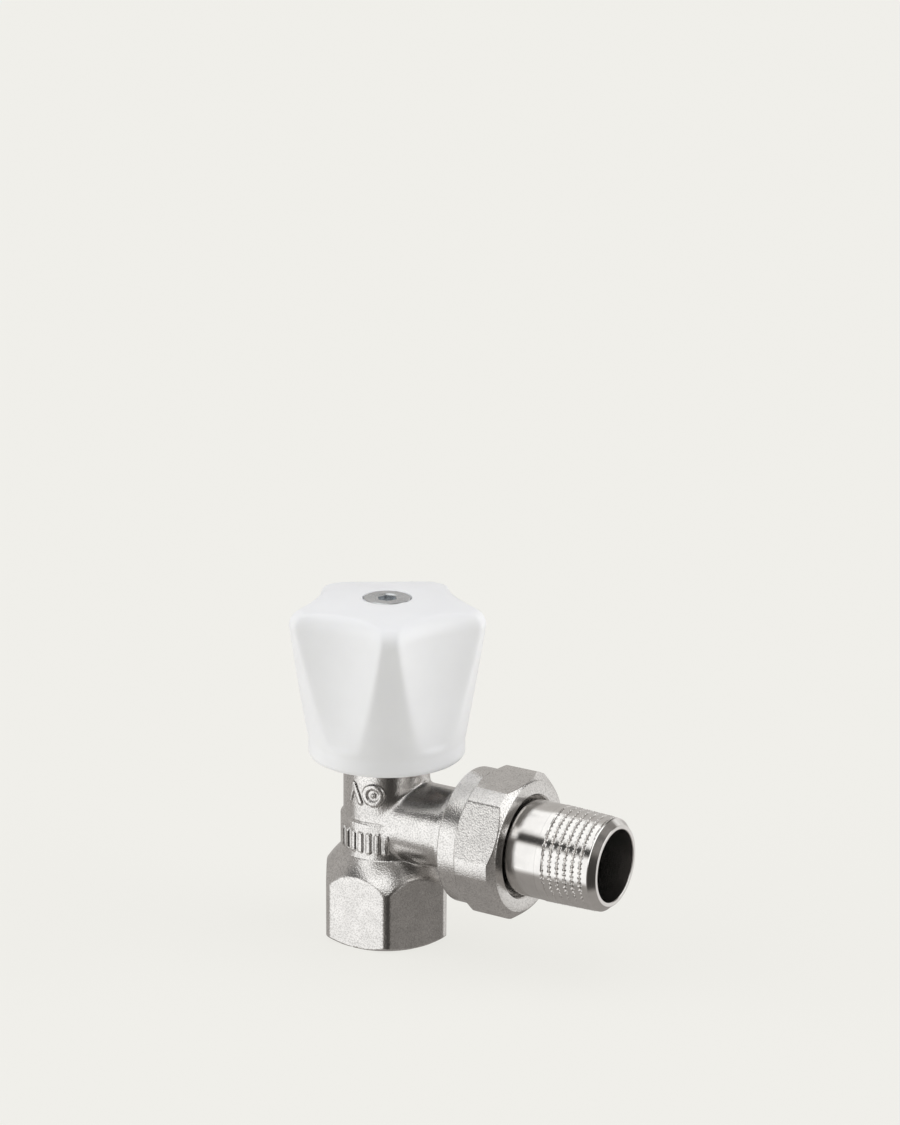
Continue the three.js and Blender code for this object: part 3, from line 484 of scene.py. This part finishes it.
def relief_height(angle, z):
    """Raised marks of the forging die: a ring and dot, a chevron, and a row of plain bars."""
    across = NECK_RADIUS * (np.mod(angle - RELIEF_ANGLE + math.pi, TURN) - math.pi)
    from_centre = np.hypot(across - RING_CENTRE[0], z - RING_CENTRE[1])
    raised = np.maximum(stroke(np.abs(from_centre - RING_RADIUS), RING_WIDTH), stroke(from_centre, 0.7))
    for start, end in zip(CHEVRON, CHEVRON[1:]):
        raised = np.maximum(raised, stroke(to_segment(across, z, start, end), STROKE_WIDTH))
    for bar in BAR_ANGLES:
        place = NECK_RADIUS * (bar - RELIEF_ANGLE)
        distance = to_segment(across, z, (place, BAR_LOW), (place, BAR_HIGH))
        raised = np.maximum(raised, stroke(distance, STROKE_WIDTH))
    return 0.45 * raised


def stroke(distance, width):
    return smoothstep(width / 2 + 0.22, width / 2 - 0.1, distance)


def to_segment(u, v, start, end):
    """Distance from points to a straight stroke between two points."""
    run, rise = end[0] - start[0], end[1] - start[1]
    along = ((u - start[0]) * run + (v - start[1]) * rise) / (run * run + rise * rise)
    along = np.clip(along, 0, 1)
    return np.hypot(u - start[0] - along * run, v - start[1] - along * rise)


PIPE_PITCH = 1.814
SOCKET_MINOR, SOCKET_MAJOR, SOCKET_DEPTH = 9.32, 10.48, 14.5
BOSS_MAJOR, BOSS_MINOR = 13.15, 12.05


def socket_thread(height, angle):
    """The G 1/2 internal thread of the socket, opened by a chamfer at its mouth."""
    depth = (SOCKET_MAJOR - SOCKET_MINOR) * smoothstep(13.2, 11.4, height)
    return np.maximum(SOCKET_MINOR + depth * thread_wave(height, angle, PIPE_PITCH), 10.7 - height)


def build_body():
    low = np.array([-15.6, -15.6, -0.9])
    high = np.array([23.3, 15.6, NECK_TOP + 0.9])
    body = blended_surface("valve_body_visual", body_field, low, high, BODY_CELL)
    boss_thread = threaded(BOSS_MINOR, BOSS_MAJOR - BOSS_MINOR, PIPE_PITCH, 23.4, BOSS_END + 0.2, 1.6)
    boss_rows = [(0, 19.0), (10.5, 19.0), (10.8, 23.0), (BOSS_MINOR, 23.3)]
    boss_rows += repeated(boss_thread, 23.4, BOSS_END - 0.3, 0.13)
    boss_rows += [(11.6, BOSS_END), (0, BOSS_END)]
    combine(body, turned("boss", boss_rows, 300, "X", closed=False), "UNION")
    bore_rows = [(0, -0.5)] + repeated(socket_thread, -0.5, 13.3, 0.13)
    bore_rows += [(9.67, 13.5), (9.67, SOCKET_DEPTH), (5.8, 15.4), (5.6, 15.7)]  # down to the seat
    bore_rows += [(5.6, 19.6), (5.75, 19.8), (6.25, 19.8), (6.4, 19.65), (6.4, 19.0)]  # the seat
    bore_rows += [(7.4, 19.0), (7.4, 34.2), (8.0, 34.8), (8.0, 44.2)]  # chamber and neck
    bore_rows += [(8.3, NECK_TOP + 0.1), (8.3, 46.0), (0, 46.0)]
    combine(body, turned("upright_bore", bore_rows, 240, closed=False), "DIFFERENCE")
    outlet_rows = [(0, 0.5), (7.0, 0.5), (7.0, 29.6), (8.2, 29.6), (10.6, 32.0), (0, 32.0)]
    combine(body, turned("outlet_bore", outlet_rows, 160, "X", closed=False), "DIFFERENCE")
    mark_machined(body)
    finishes = [BLASTED, MACHINED, TURNED_X]
    return finish_piece(body, "valve_body", "valve_body", finishes, 50)


def mark_machined(body):
    """Gives the cut faces the bright machined finish: those that don't lie on the forging's skin."""
    mesh = body.data
    centres = np.zeros(len(mesh.polygons) * 3)
    mesh.polygons.foreach_get("center", centres)
    centres = centres.reshape(-1, 3) / MM
    on_skin = (np.abs(body_field(centres)) < 0.07) & (centres[:, 2] > 0.9)
    finish = np.where(centres[:, 0] > 14, 2, 1)
    mesh.polygons.foreach_set("material_index", np.where(on_skin, 0, finish).astype(np.int32))


# ---- Bonnet and gland -----------------------------------------------------------------------------

def flat_ring(node, inner, edge):
    """A turned ring as large as its CAD node, with broken edges."""
    low, high = span(node)
    outer, bottom, top = high[1], low[2], high[2]
    corners = [(inner, bottom, edge), (outer, bottom, edge), (outer, top, edge), (inner, top, edge)]
    return turned(node + "_visual", rounded(corners, 3), 160)


def plain_ring(node, inner, body, material, edge=0.08):
    """A washer or bush."""
    return finish_piece(flat_ring(node, inner, edge), body, node, material)


def o_ring(node, body):
    low, high = span(node)
    cord = (high[2] - low[2]) / 2
    around = np.arange(24) * TURN / 24
    rows = [(high[1] - cord + cord * math.cos(a), low[2] + cord + cord * math.sin(a)) for a in around]
    return finish_piece(turned(node + "_visual", rows, 160), body, node, RUBBER)


def nut_profile(bottom, top, across_flats, chamfer):
    """Radius to which a small nut's corners are turned off at both of its ends."""
    corner = across_flats / math.sqrt(3)
    drop = corner - across_flats / 2 + 0.15

    def profile(height):
        from_end = min(height - bottom, top - height)
        return corner - drop * max(0.0, 1 - from_end / chamfer)
    return profile


SPINDLE_PITCH = 1.5
BONNET_FLATS, GLAND_NUT_FLATS = 19.0, 14.0


def build_bonnet():
    low, high = span("bonnet")
    bottom, top = low[2], high[2]
    flange, hex_low, hex_high = NECK_TOP + 0.8, NECK_TOP + 1.35, 50.9
    outer_thread = threaded(7.55, 0.45, 1.0, bottom, flange - 1.4, 0.6)
    inner_thread = threaded(4.95, -0.65, SPINDLE_PITCH, bottom, 41.6, 0.5)
    gland_thread = threaded(6.9, -0.35, 1.0, 52.2, top, 0.4)
    hexagon = hexagonal(BONNET_FLATS, nut_profile(hex_low, hex_high, BONNET_FLATS, 0.7))
    rows = [(5.3, bottom), (7.3, bottom)] + repeated(outer_thread, bottom + 0.3, flange - 1.4, 0.1)
    rows += [(7.5, flange - 1.3), (7.5, flange), (9.55, flange)]
    rows += [(NECK_RADIUS, flange + 0.15), (NECK_RADIUS, hex_low)]
    rows += repeated(hexagon, hex_low, hex_high, 0.12)
    rows += [(8.45, hex_high), (8.4, hex_high + 0.1), (8.4, top - 0.45), (8.0, top), (7.0, top)]
    rows += repeated(gland_thread, top - 0.1, 52.3, 0.1)
    rows += [(6.9, 52.2), (6.2, 52.2), (6.2, 46.9), (4.4, 46.9), (4.4, 46.0), (5.4, 46.0), (5.4, 41.7)]
    rows += repeated(inner_thread, 41.6, bottom + 0.2, 0.13)
    bonnet = turned("bonnet_visual", rows, 288)
    return finish_piece(bonnet, "valve_body", "bonnet", MACHINED, 38)


def build_gland_nut():
    low, high = span("gland_nut")
    bottom, top = low[2], high[2]
    seat = 54.1
    thread = threaded(6.45, 0.3, 1.0, bottom, seat, 0.4)
    hexagon = hexagonal(GLAND_NUT_FLATS, nut_profile(seat, top, GLAND_NUT_FLATS, 0.5))
    rows = [(4.4, bottom + 0.1), (4.5, bottom), (6.3, bottom)]
    rows += repeated(thread, bottom + 0.1, seat - 0.1, 0.1)
    rows += [(6.45, seat)] + repeated(hexagon, seat, top, 0.1) + [(4.6, top), (4.4, top - 0.2)]
    nut = turned("gland_nut_visual", rows, 240)
    return finish_piece(nut, "valve_body", "gland_nut", MACHINED, 38)


# ---- Plug and spindle -----------------------------------------------------------------------------

def build_plug_carrier():
    low, high = span("plug_carrier")
    bottom, top = low[2], high[2]
    clip_low, clip_high = span("swivel_clip")
    groove, groove_low, groove_high = clip_high[1] + 0.15, clip_low[2] - 0.2, clip_high[2] + 0.2
    outside = [
        (2.05, bottom, 0.1), (6.5, bottom, 0.2), (6.6, bottom + 0.4, 0.1),
        (6.6, 24.5, 0.1), (5.4, 25.7, 0.3), (5.4, top, 0.2)]
    inside = [
        (3.6, top, 0.2), (3.6, groove_high, 0.05), (groove, groove_high, 0.05),
        (groove, groove_low, 0.05), (3.6, groove_low, 0.05), (3.6, 24.5, 0.1), (2.05, 24.5, 0.1)]
    carrier = turned("plug_carrier_visual", rounded(outside + inside, 3), 160)
    return finish_piece(carrier, "valve_plug", "plug_carrier", BRASS)


def build_disc_screw():
    low, high = span("disc_screw")
    bottom, top = low[2], high[2]
    thread = threaded(1.65, 0.3, 0.7, bottom + 2.6, top, 0.4)
    head = [(0, bottom, 0), (3.4, bottom, 0.9), (3.4, bottom + 2, 0.1)]
    rows = [(0, bottom)] + rounded(head, 5, closed=False)[1:]
    rows += [(1.75, bottom + 2)] + repeated(thread, bottom + 2.2, top - 0.1, 0.08) + [(1.4, top), (0, top)]
    screw = turned("disc_screw_visual", rows, 96, closed=False)
    combine(screw, block("slot", (-5, -0.45, bottom - 1), (5, 0.45, bottom + 0.95)), "DIFFERENCE")
    return finish_piece(screw, "valve_plug", "disc_screw", ZINC)


def snap_ring(node, body, inner, gap):
    """A spring ring that is open at one side."""
    low, high = span(node)
    ring = flat_ring(node, inner, 0.1)
    opening = block("gap", (0, -gap / 2, low[2] - 1), (high[1] + 1, gap / 2, high[2] + 1))
    combine(ring, opening, "DIFFERENCE")
    return finish_piece(ring, body, node, SPRING)


SPLINE_TEETH, SPLINE_DEPTH = 18, 0.55
STEM_RADIUS = 4.25
SPLINE_START = 61.0


def splined(major):
    """A radius function: a serrated shaft or hole with rounded teeth."""
    return lambda height, angle: major - SPLINE_DEPTH * (0.5 - 0.5 * np.cos(angle * SPLINE_TEETH))


def build_spindle():
    bottom, top = SPINDLE_LOW[2], SPINDLE_HIGH[2]
    clip_low, clip_high = span("swivel_clip")
    ring_low, ring_high = span("spindle_stop_ring")
    clip_groove = clip_low[2] - 0.2, clip_high[2] + 0.2
    ring_groove = ring_low[2] - 0.1, ring_high[2] + 0.1
    lead = threaded(4.2, 0.65, SPINDLE_PITCH, ring_high[2] + 0.3, 42.0, 0.7)
    rows = [(0, bottom), (3.25, bottom), (3.4, bottom + 0.15)]
    rows += [(3.4, clip_groove[0]), (2.4, clip_groove[0]), (2.4, clip_groove[1]), (3.4, clip_groove[1])]
    rows += [(3.4, 28.7), (3.5, 28.8), (4.2, 28.8)]
    rows += [(4.2, ring_groove[0]), (3.9, ring_groove[0]), (3.9, ring_groove[1]), (4.2, ring_groove[1])]
    rows += repeated(lead, ring_high[2] + 0.3, 42.0, 0.13)
    rows += [(STEM_RADIUS, 42.1), (STEM_RADIUS, 50.0)]
    rows += [(STEM_RADIUS, SPLINE_START - 0.6), (3.7, SPLINE_START - 0.2)]
    rows += repeated(splined(STEM_RADIUS), SPLINE_START + 0.2, top - 0.3, 1.0)
    rows += [(3.75, top), (3.0, top), (2.75, top - 0.25)]
    rows += repeated(threaded(2.5, 0.4, 1.0, top, 59.0, 0.4), top - 0.3, 59.2, 0.12)
    rows += [(2.4, 59.0), (0, 58.2)]
    spindle = turned("spindle_visual", rows, 216, closed=False)
    return finish_piece(spindle, "spindle", "spindle", BRASS)


# ---- Union nut and tail ---------------------------------------------------------------------------

NUT_FLATS = 30.0
NUT_ROUND = 16.35
NUT_COLLAR = 15.1
NUT_COLLAR_END = 26.8
NUT_REAR_CHAMFER_END = 27.85
NUT_FRONT_CHAMFER = 1.33
NUT_FACE_RADIUS = 14.6
NUT_HOLE = 11.4
NUT_WALL = 34.1
NUT_FIRST_CORNER = math.radians(35.2)


def nut_turning(height):
    """Radius of the nut before its flats are milled: collar, rear chamfer, round, front chamfer."""
    stations = [NUT_BACK, NUT_COLLAR_END, NUT_REAR_CHAMFER_END, NUT_FRONT - NUT_FRONT_CHAMFER, NUT_FRONT]
    return np.interp(height, stations, [NUT_COLLAR, NUT_COLLAR, NUT_ROUND, NUT_ROUND, NUT_FACE_RADIUS])


def build_nut():
    hexagon = hexagonal(NUT_FLATS, nut_turning, NUT_FIRST_CORNER, 0.16)
    collar = [(10.0, NUT_BACK, 0), (NUT_COLLAR, NUT_BACK, 0.5), (NUT_COLLAR, NUT_COLLAR_END, 0)]
    rows = [(0, NUT_BACK)] + rounded(collar, 5, closed=False)[1:-1]
    rows += [(NUT_COLLAR, NUT_COLLAR_END - 0.1), (NUT_COLLAR, NUT_COLLAR_END)]
    rows += repeated(hexagon, NUT_COLLAR_END + 0.04, NUT_REAR_CHAMFER_END + 0.15, 0.08)
    rows += repeated(hexagon, NUT_REAR_CHAMFER_END + 0.4, NUT_FRONT - NUT_FRONT_CHAMFER - 0.4, 1.2)
    rows += repeated(hexagon, NUT_FRONT - NUT_FRONT_CHAMFER - 0.15, NUT_FRONT - 0.1, 0.08)
    rows += [(NUT_FACE_RADIUS - 0.02, NUT_FRONT - 0.03), (NUT_FACE_RADIUS - 0.15, NUT_FRONT)]
    rows += [(0, NUT_FRONT)]
    nut = turned("union_nut_visual", rows, 720, "X", closed=False)
    thread = threaded(12.2, 1.05, PIPE_PITCH, NUT_BACK - 0.5, 33.8, 1.0)

    def bore_wall(height, angle):
        return np.maximum(thread(height, angle), 13.6 - (height - NUT_BACK) * 1.2)

    bore = [(0, NUT_BACK - 1)] + repeated(bore_wall, NUT_BACK - 1, 33.8, 0.14)
    bore += [(12.2, NUT_WALL), (NUT_HOLE, NUT_WALL), (NUT_HOLE, NUT_FRONT - 0.3)]
    bore += [(NUT_HOLE + 0.3, NUT_FRONT), (NUT_HOLE + 1.3, NUT_FRONT + 1), (0, NUT_FRONT + 1)]
    combine(nut, turned("nut_bore", bore, 240, "X", closed=False), "DIFFERENCE")
    return finish_piece(nut, "union_nut", "union_nut", BLASTED, 30)


TAIL_BORE = 8.0
TAIL_THREAD_START, TAIL_THREAD_END = 44.6, 56.7
SERRATIONS = 60
GROOVE_HALF = 0.13  # of the pitch


def tail_thread(height, angle):
    """The taper thread: wide crests between narrow grooves, whose edges are serrated to hold hemp."""
    crest = 10.5 - (height - 50.5) / 32
    phase = np.mod((height - 0.3) / PIPE_PITCH - angle / TURN, 1.0) - 0.5
    groove = np.clip(1 - np.abs(phase) / GROOVE_HALF, 0, 1)
    run_in = smoothstep(TAIL_THREAD_START, TAIL_THREAD_START + 3.0, height)
    depth = (0.2 + 0.35 * run_in) * smoothstep(TAIL_THREAD_END, TAIL_THREAD_END - 0.4, height)
    depth = depth * smoothstep(TAIL_THREAD_START - 0.2, TAIL_THREAD_START + 0.2, height)
    lip = np.clip(1 - np.abs(np.abs(phase) - GROOVE_HALF * 1.2) / 0.1, 0, 1)
    teeth = smoothstep(-0.1, 0.7, np.cos(angle * SERRATIONS))
    burr = 0.15 * lip * teeth * run_in * smoothstep(TAIL_THREAD_END - 0.3, TAIL_THREAD_END - 1.0, height)
    return crest - depth * groove * (1 - 0.45 * teeth * run_in) + burr - 0.06 * run_in


def build_tail():
    rows = rounded([
        (TAIL_BORE, TAIL_LOW[0], 0.1), (8.65, TAIL_LOW[0], 0.1), (9.9, 31.55, 0.1),
        (11.95, 31.55, 0.2), (11.95, 34.0, 0.2), (10.6, 34.0, 0.25)], 3)
    rows += [(10.6, 36.0), (10.6, 44.0), (10.58, TAIL_THREAD_START - 0.25)]
    rows += repeated(tail_thread, TAIL_THREAD_START - 0.2, TAIL_THREAD_END, 0.1)
    end = [
        (10.25, 56.85, 0.1), (10.05, 56.95, 0.1), (8.92, OUTLET_END, 0.2), (TAIL_BORE, OUTLET_END, 0.2),
        (TAIL_BORE, 40.0, 0)]
    rows += rounded(end, 4, closed=False)
    tail = turned("union_tail_visual", rows, 720, "X")
    for face in tail.data.polygons:
        in_bore = math.hypot(face.center.y, face.center.z - OUTLET_Z * MM) < (TAIL_BORE + 0.05) * MM
        face.material_index = 1 if in_bore else 0
    return finish_piece(tail, "union_tail", "union_tail", [TURNED_X, BORE], 38)


# ---- Handwheel ------------------------------------------------------------------------------------

LOBES = 5
FIRST_LOBE = math.radians(16.3)
FLARE_Z = 46.0
FLARE_SLOPE = 0.1735
RIM_RADIUS = 17.5
SIDE_TOP = 73.35
EDGE_ROUND = 3.25
HOLLOW_RADIUS = 40.0
HOLLOW_LOW, HOLLOW_HIGH = 17.3, 17.45
CROWN_PEAK, CROWN_FALL = 78.3, 0.0039
WALL = 2.2
CEILING = 73.6
HUB_RADIUS, HUB_BOTTOM = 7.4, 57.9


def grip_radius(height, angle):
    """Radius of the handwheel's wall: a flared cone, cut by a hollow between each two lobes."""
    rise = max(height - FLARE_Z, 0)
    lobe = RIM_RADIUS + rise * FLARE_SLOPE
    middle = HOLLOW_LOW + (HOLLOW_HIGH - HOLLOW_LOW) * rise / (SIDE_TOP + EDGE_ROUND - FLARE_Z)
    centre = HOLLOW_RADIUS + middle
    between = np.mod(angle - FIRST_LOBE, TURN / LOBES) - TURN / LOBES / 2
    hollow = centre * np.cos(between) - np.sqrt(HOLLOW_RADIUS**2 - (centre * np.sin(between)) ** 2)
    hollow = hollow + 2.0 * smoothstep(FLARE_Z + 2.5, FLARE_Z - 1.5, height)
    return smooth_min(lobe, hollow, 1.1)


def inset(amount, level=None):
    """A radius function: the wall's radius less an inset, at its own height or at a fixed level."""
    return lambda height, angle: grip_radius(height if level is None else level, angle) - amount


def crown_height(radius):
    return CROWN_PEAK - CROWN_FALL * radius**2


def build_handwheel():
    columns = 480
    angle = np.arange(columns) * TURN / columns
    rim = 1.3
    rows = []
    for turn in np.linspace(0, math.pi / 2, 7):
        rows.append((inset(rim * (1 - math.sin(turn)), RIM_Z), RIM_Z + rim * (1 - math.cos(turn))))
    rows += [(inset(0), z) for z in np.arange(RIM_Z + 1.7, SIDE_TOP, 0.45)]
    edge = grip_radius(SIDE_TOP, angle) - EDGE_ROUND
    edge_height = crown_height(edge)
    for turn in np.linspace(0, math.pi / 2, 16):
        height = SIDE_TOP + (edge_height - SIDE_TOP) * math.sin(turn)
        rows.append((edge + EDGE_ROUND * math.cos(turn), height))
    bore = SCREW_HIGH[1] + 0.26
    for inward in np.linspace(0.1, 1, 10):
        radius = edge + (bore + 0.2 - edge) * inward
        rows.append((radius, crown_height(radius)))
    rows += [(bore + 0.05, crown_height(bore) - 0.06), (bore, crown_height(bore) - 0.22), (bore, 73.05),
             (bore - 0.05, 73.0), (3.4, 73.0), (3.3, 72.9), (3.3, 72.4), (4.4, 72.4)]
    rows += repeated(splined(STEM_RADIUS + 0.15), 72.3, SPLINE_START + 0.2, 1.0)
    rows += [(4.45, SPLINE_START), (4.45, HUB_BOTTOM + 0.3), (4.7, HUB_BOTTOM)]
    rows += [(HUB_RADIUS - 0.2, HUB_BOTTOM), (HUB_RADIUS, HUB_BOTTOM + 0.2)]
    rows += [(HUB_RADIUS, CEILING - 0.8), (HUB_RADIUS + 0.8, CEILING)]
    rows += [(inset(WALL + 2.0, CEILING - 2), CEILING), (inset(WALL + 0.7, CEILING - 2), CEILING - 0.6)]
    rows += repeated(inset(WALL), CEILING - 2, FLARE_Z, 1.5)
    rows += [(inset(WALL, FLARE_Z), RIM_Z + 0.5), (inset(WALL - 0.4, FLARE_Z), RIM_Z)]
    wheel = turned("handwheel_visual", rows, columns)
    for lobe in range(LOBES):
        middle = FIRST_LOBE + (lobe + 0.5) * TURN / LOBES
        low = (HUB_RADIUS - 1, -0.7, 62.0)
        high = (HOLLOW_LOW - WALL / 2, 0.7, CEILING + 0.2)
        combine(wheel, block("rib", low, high, middle), "UNION")
    return finish_piece(wheel, "spindle", "handwheel", WHITE, 45)


def build_screw():
    bottom, top = SCREW_LOW[2], SCREW_HIGH[2]
    head_bottom = 73.75
    radius = SCREW_HIGH[1]
    thread = threaded(2.35, 0.4, 1.0, bottom, head_bottom - 1, 0.5)
    rows = [(0, bottom), (2.1, bottom)] + repeated(thread, bottom + 0.3, head_bottom - 1, 0.1)
    rows += [(2.75, head_bottom - 0.8), (2.75, head_bottom)]
    head = [
        (2.75, head_bottom, 0), (radius, head_bottom, 0.15), (radius, top, 0.4),
        (2.9, top, 0.1), (2.5, top - 0.2, 0.1), (0, top - 0.2, 0)]
    rows += rounded(head, 4, closed=False)[1:]
    screw = turned("handwheel_screw_visual", rows, 192, closed=False)
    socket = hexagonal(4.0, lambda height: 3.0, math.radians(10))
    socket_rows = [(0, top - 2.2), (socket, top - 2.2), (socket, top + 1), (0, top + 1)]
    combine(screw, turned("socket", socket_rows, 192, closed=False), "DIFFERENCE")
    return finish_piece(screw, "spindle", "handwheel_screw", ZINC, 30)


# ---- Studio ---------------------------------------------------------------------------------------

PAPER = (0.872, 0.863, 0.823, 1.0)

# What the shiny parts reflect, painted one over another: the azimuth of the middle, half the width,
# the lowest and highest elevation, the softness of the edges (all degrees) and the brightness.
PANELS = (
    ("floor_glow", 0, 200, -100, -32, 14, 0.32),
    ("back_wall", 125, 48, -30, 58, 16, 0.50),
    ("back_left_wall", 175, 30, -30, 40, 18, 0.42),
    ("left_softbox", -117, 33, -34, 26, 12, 1.12),
    ("left_slot", -122, 24, 28, 43, 5, 0.02),
    ("upper_left_softbox", 175, 58, 49, 76, 6, 1.15),
    ("gap_softbox", -118, 16, 46, 62, 6, 1.15),
    ("front_top_softbox", -74, 30, 33, 57, 7, 1.25),
    ("front_flag", -46, 20, -45, 26, 16, 0.05),
    ("top_flag", -12, 30, 42, 62, 8, 0.12),
    ("right_softbox", 22, 26, -8, 40, 6, 1.35),
    ("right_slot", 52, 9, 4, 26, 6, 0.06),
    ("nut_face_glow", 62, 18, -30, -4, 8, 0.74),
    ("right_back_softbox", 80, 15, -10, 26, 8, 0.78),
)
BASE_LEVEL = 0.21  # between the panels

# What matt surfaces see: an even level and broad lamps, given like the panels.
EVEN_LIGHT = 0.1
LAMPS = (
    ("left", -143, 28, -10, 50, 30, 2.55),
    ("right", 25, 26, -10, 50, 30, 2.75),
    ("back", 125, 30, -10, 50, 30, 0.30),
    ("top", 0, 200, 62, 100, 30, 1.7),
)


def panel_mask(nodes, direction, elevation, azimuth, half_width, low, high, soft):
    """1 inside a panel of the studio, fading to 0 over its soft edges."""
    turn = math.radians(azimuth)
    ahead, aside = (math.cos(turn), math.sin(turn), 0.0), (-math.sin(turn), math.cos(turn), 0.0)
    along, across = [
        nodes.add("ShaderNodeVectorMath", {0: direction, 1: axis}, output=1, operation="DOT_PRODUCT")
        for axis in (ahead, aside)]
    sideways = nodes.math("ABSOLUTE", nodes.math("ARCTAN2", across, along))
    tilt = nodes.math("ABSOLUTE", nodes.math("SUBTRACT", elevation, math.radians((low + high) / 2)))
    mask = 1.0
    for value, half in ((sideways, half_width), (tilt, (high - low) / 2)):
        inner, outer = math.radians(half - soft / 2), math.radians(half + soft / 2)
        edge = nodes.add("ShaderNodeMapRange", {"Value": value, 1: inner, 2: outer, 3: 1.0, 4: 0.0},
                         interpolation_type="SMOOTHSTEP")
        mask = nodes.math("MULTIPLY", edge, mask)
    return mask


def build_studio():
    """A pale room: broad even light for matt surfaces, and panels and flags for shiny ones."""
    world = bpy.data.worlds.new("studio")
    bpy.context.scene.world = world
    world.use_nodes = True
    tree = world.node_tree
    nodes = Nodes(tree)
    direction = nodes.add("ShaderNodeTexCoord", output=0)
    apart = nodes.tree.nodes.new("ShaderNodeSeparateXYZ")
    nodes.feed(apart.inputs[0], direction)
    elevation = nodes.math("ARCSINE", apart.outputs[2])
    level = BASE_LEVEL
    for _, azimuth, half_width, low, high, soft, brightness in PANELS:
        mask = panel_mask(nodes, direction, elevation, azimuth, half_width, low, high, soft)
        change = nodes.math("MULTIPLY", mask, nodes.math("SUBTRACT", brightness, level))
        level = nodes.math("ADD", change, level)
    tint = nodes.mix(level, (1.0, 0.93, 0.86, 1), (1.0, 1.0, 0.99, 1))
    panels = nodes.add("ShaderNodeBackground", {"Color": tint, "Strength": level})
    even_level = EVEN_LIGHT
    for _, azimuth, half_width, low, high, soft, brightness in LAMPS:
        mask = panel_mask(nodes, direction, elevation, azimuth, half_width, low, high, soft)
        even_level = nodes.math("ADD", nodes.math("MULTIPLY", mask, brightness), even_level)
    even = nodes.add("ShaderNodeBackground", {"Color": (1, 1, 1, 1), "Strength": even_level})
    paper = nodes.add("ShaderNodeBackground", {"Color": PAPER, "Strength": 1.0})
    path = nodes.tree.nodes.new("ShaderNodeLightPath")
    lit = nodes.add("ShaderNodeMixShader", {0: path.outputs[3], 1: even, 2: panels})
    both = nodes.add("ShaderNodeMixShader", {0: path.outputs[0], 1: lit, 2: paper})
    tree.links.new(both, tree.nodes["World Output"].inputs[0])


FLOOR_GLOW = 0.88  # the share of the floor's tone that shadows leave alone


def build_floor():
    size = 3.0
    corners = [(-size, -size, 0), (size, -size, 0), (size, size, 0), (-size, size, 0)]
    mesh = bpy.data.meshes.new("floor")
    mesh.from_pydata(corners, [], [(0, 1, 2, 3)])
    floor = bpy.data.objects.new("floor", mesh)
    bpy.context.scene.collection.objects.link(floor)
    material, _, shader = new_material("floor_paper")
    shader["Base Color"].default_value = [channel * (1 - FLOOR_GLOW) for channel in PAPER[:3]] + [1.0]
    shader["Emission Color"].default_value = PAPER
    shader["Emission Strength"].default_value = FLOOR_GLOW
    shader["Roughness"].default_value = 1.0
    shader["Specular IOR Level"].default_value = 0.0
    mesh.materials.append(material)
    floor.visible_glossy = False


CAMERA_AIM = (0.00977, 0.01033, 0.08517)
CAMERA_AZIMUTH, CAMERA_ELEVATION, CAMERA_ROLL = 31.507, 15.797, 0.483
CAMERA_DISTANCE = 0.64976
CAMERA_LENS = 94.4


def build_camera():
    azimuth, elevation = math.radians(CAMERA_AZIMUTH), math.radians(CAMERA_ELEVATION)
    level = math.cos(elevation)
    back = Vector((math.sin(azimuth) * level, -math.cos(azimuth) * level, math.sin(elevation)))
    data = bpy.data.cameras.new("camera")
    data.lens = CAMERA_LENS
    data.sensor_width = 36.0
    camera = bpy.data.objects.new("camera", data)
    bpy.context.scene.collection.objects.link(camera)
    turn = (-back).to_track_quat("-Z", "Y").to_matrix().to_4x4()
    roll = Matrix.Rotation(math.radians(CAMERA_ROLL), 4, "Z")
    camera.matrix_world = Matrix.Translation(Vector(CAMERA_AIM) + back * CAMERA_DISTANCE) @ turn @ roll
    bpy.context.scene.camera = camera


build_camera()
build_studio()
build_floor()

build_body()
plain_ring("bonnet_seal_ring", 8.1, "valve_body", FIBRE)
build_bonnet()
plain_ring("backup_washer", 4.4, "valve_body", BRASS)
o_ring("stem_o_ring_lower", "valve_body")
o_ring("stem_o_ring_upper", "valve_body")
plain_ring("gland_follower", 4.4, "valve_body", BRASS)
build_gland_nut()

build_plug_carrier()
plain_ring("disc_gasket", 2.05, "valve_plug", RUBBER, 0.15)
plain_ring("disc_washer", 2.05, "valve_plug", ZINC)
build_disc_screw()
snap_ring("swivel_clip", "valve_plug", 2.6, 1.6)

build_spindle()
snap_ring("spindle_stop_ring", "spindle", 4.0, 2.0)
build_handwheel()
plain_ring("screw_washer", 3.2, "spindle", ZINC)
build_screw()

build_tail()
build_nut()

bpy.context.scene.view_settings.view_transform = "Standard"
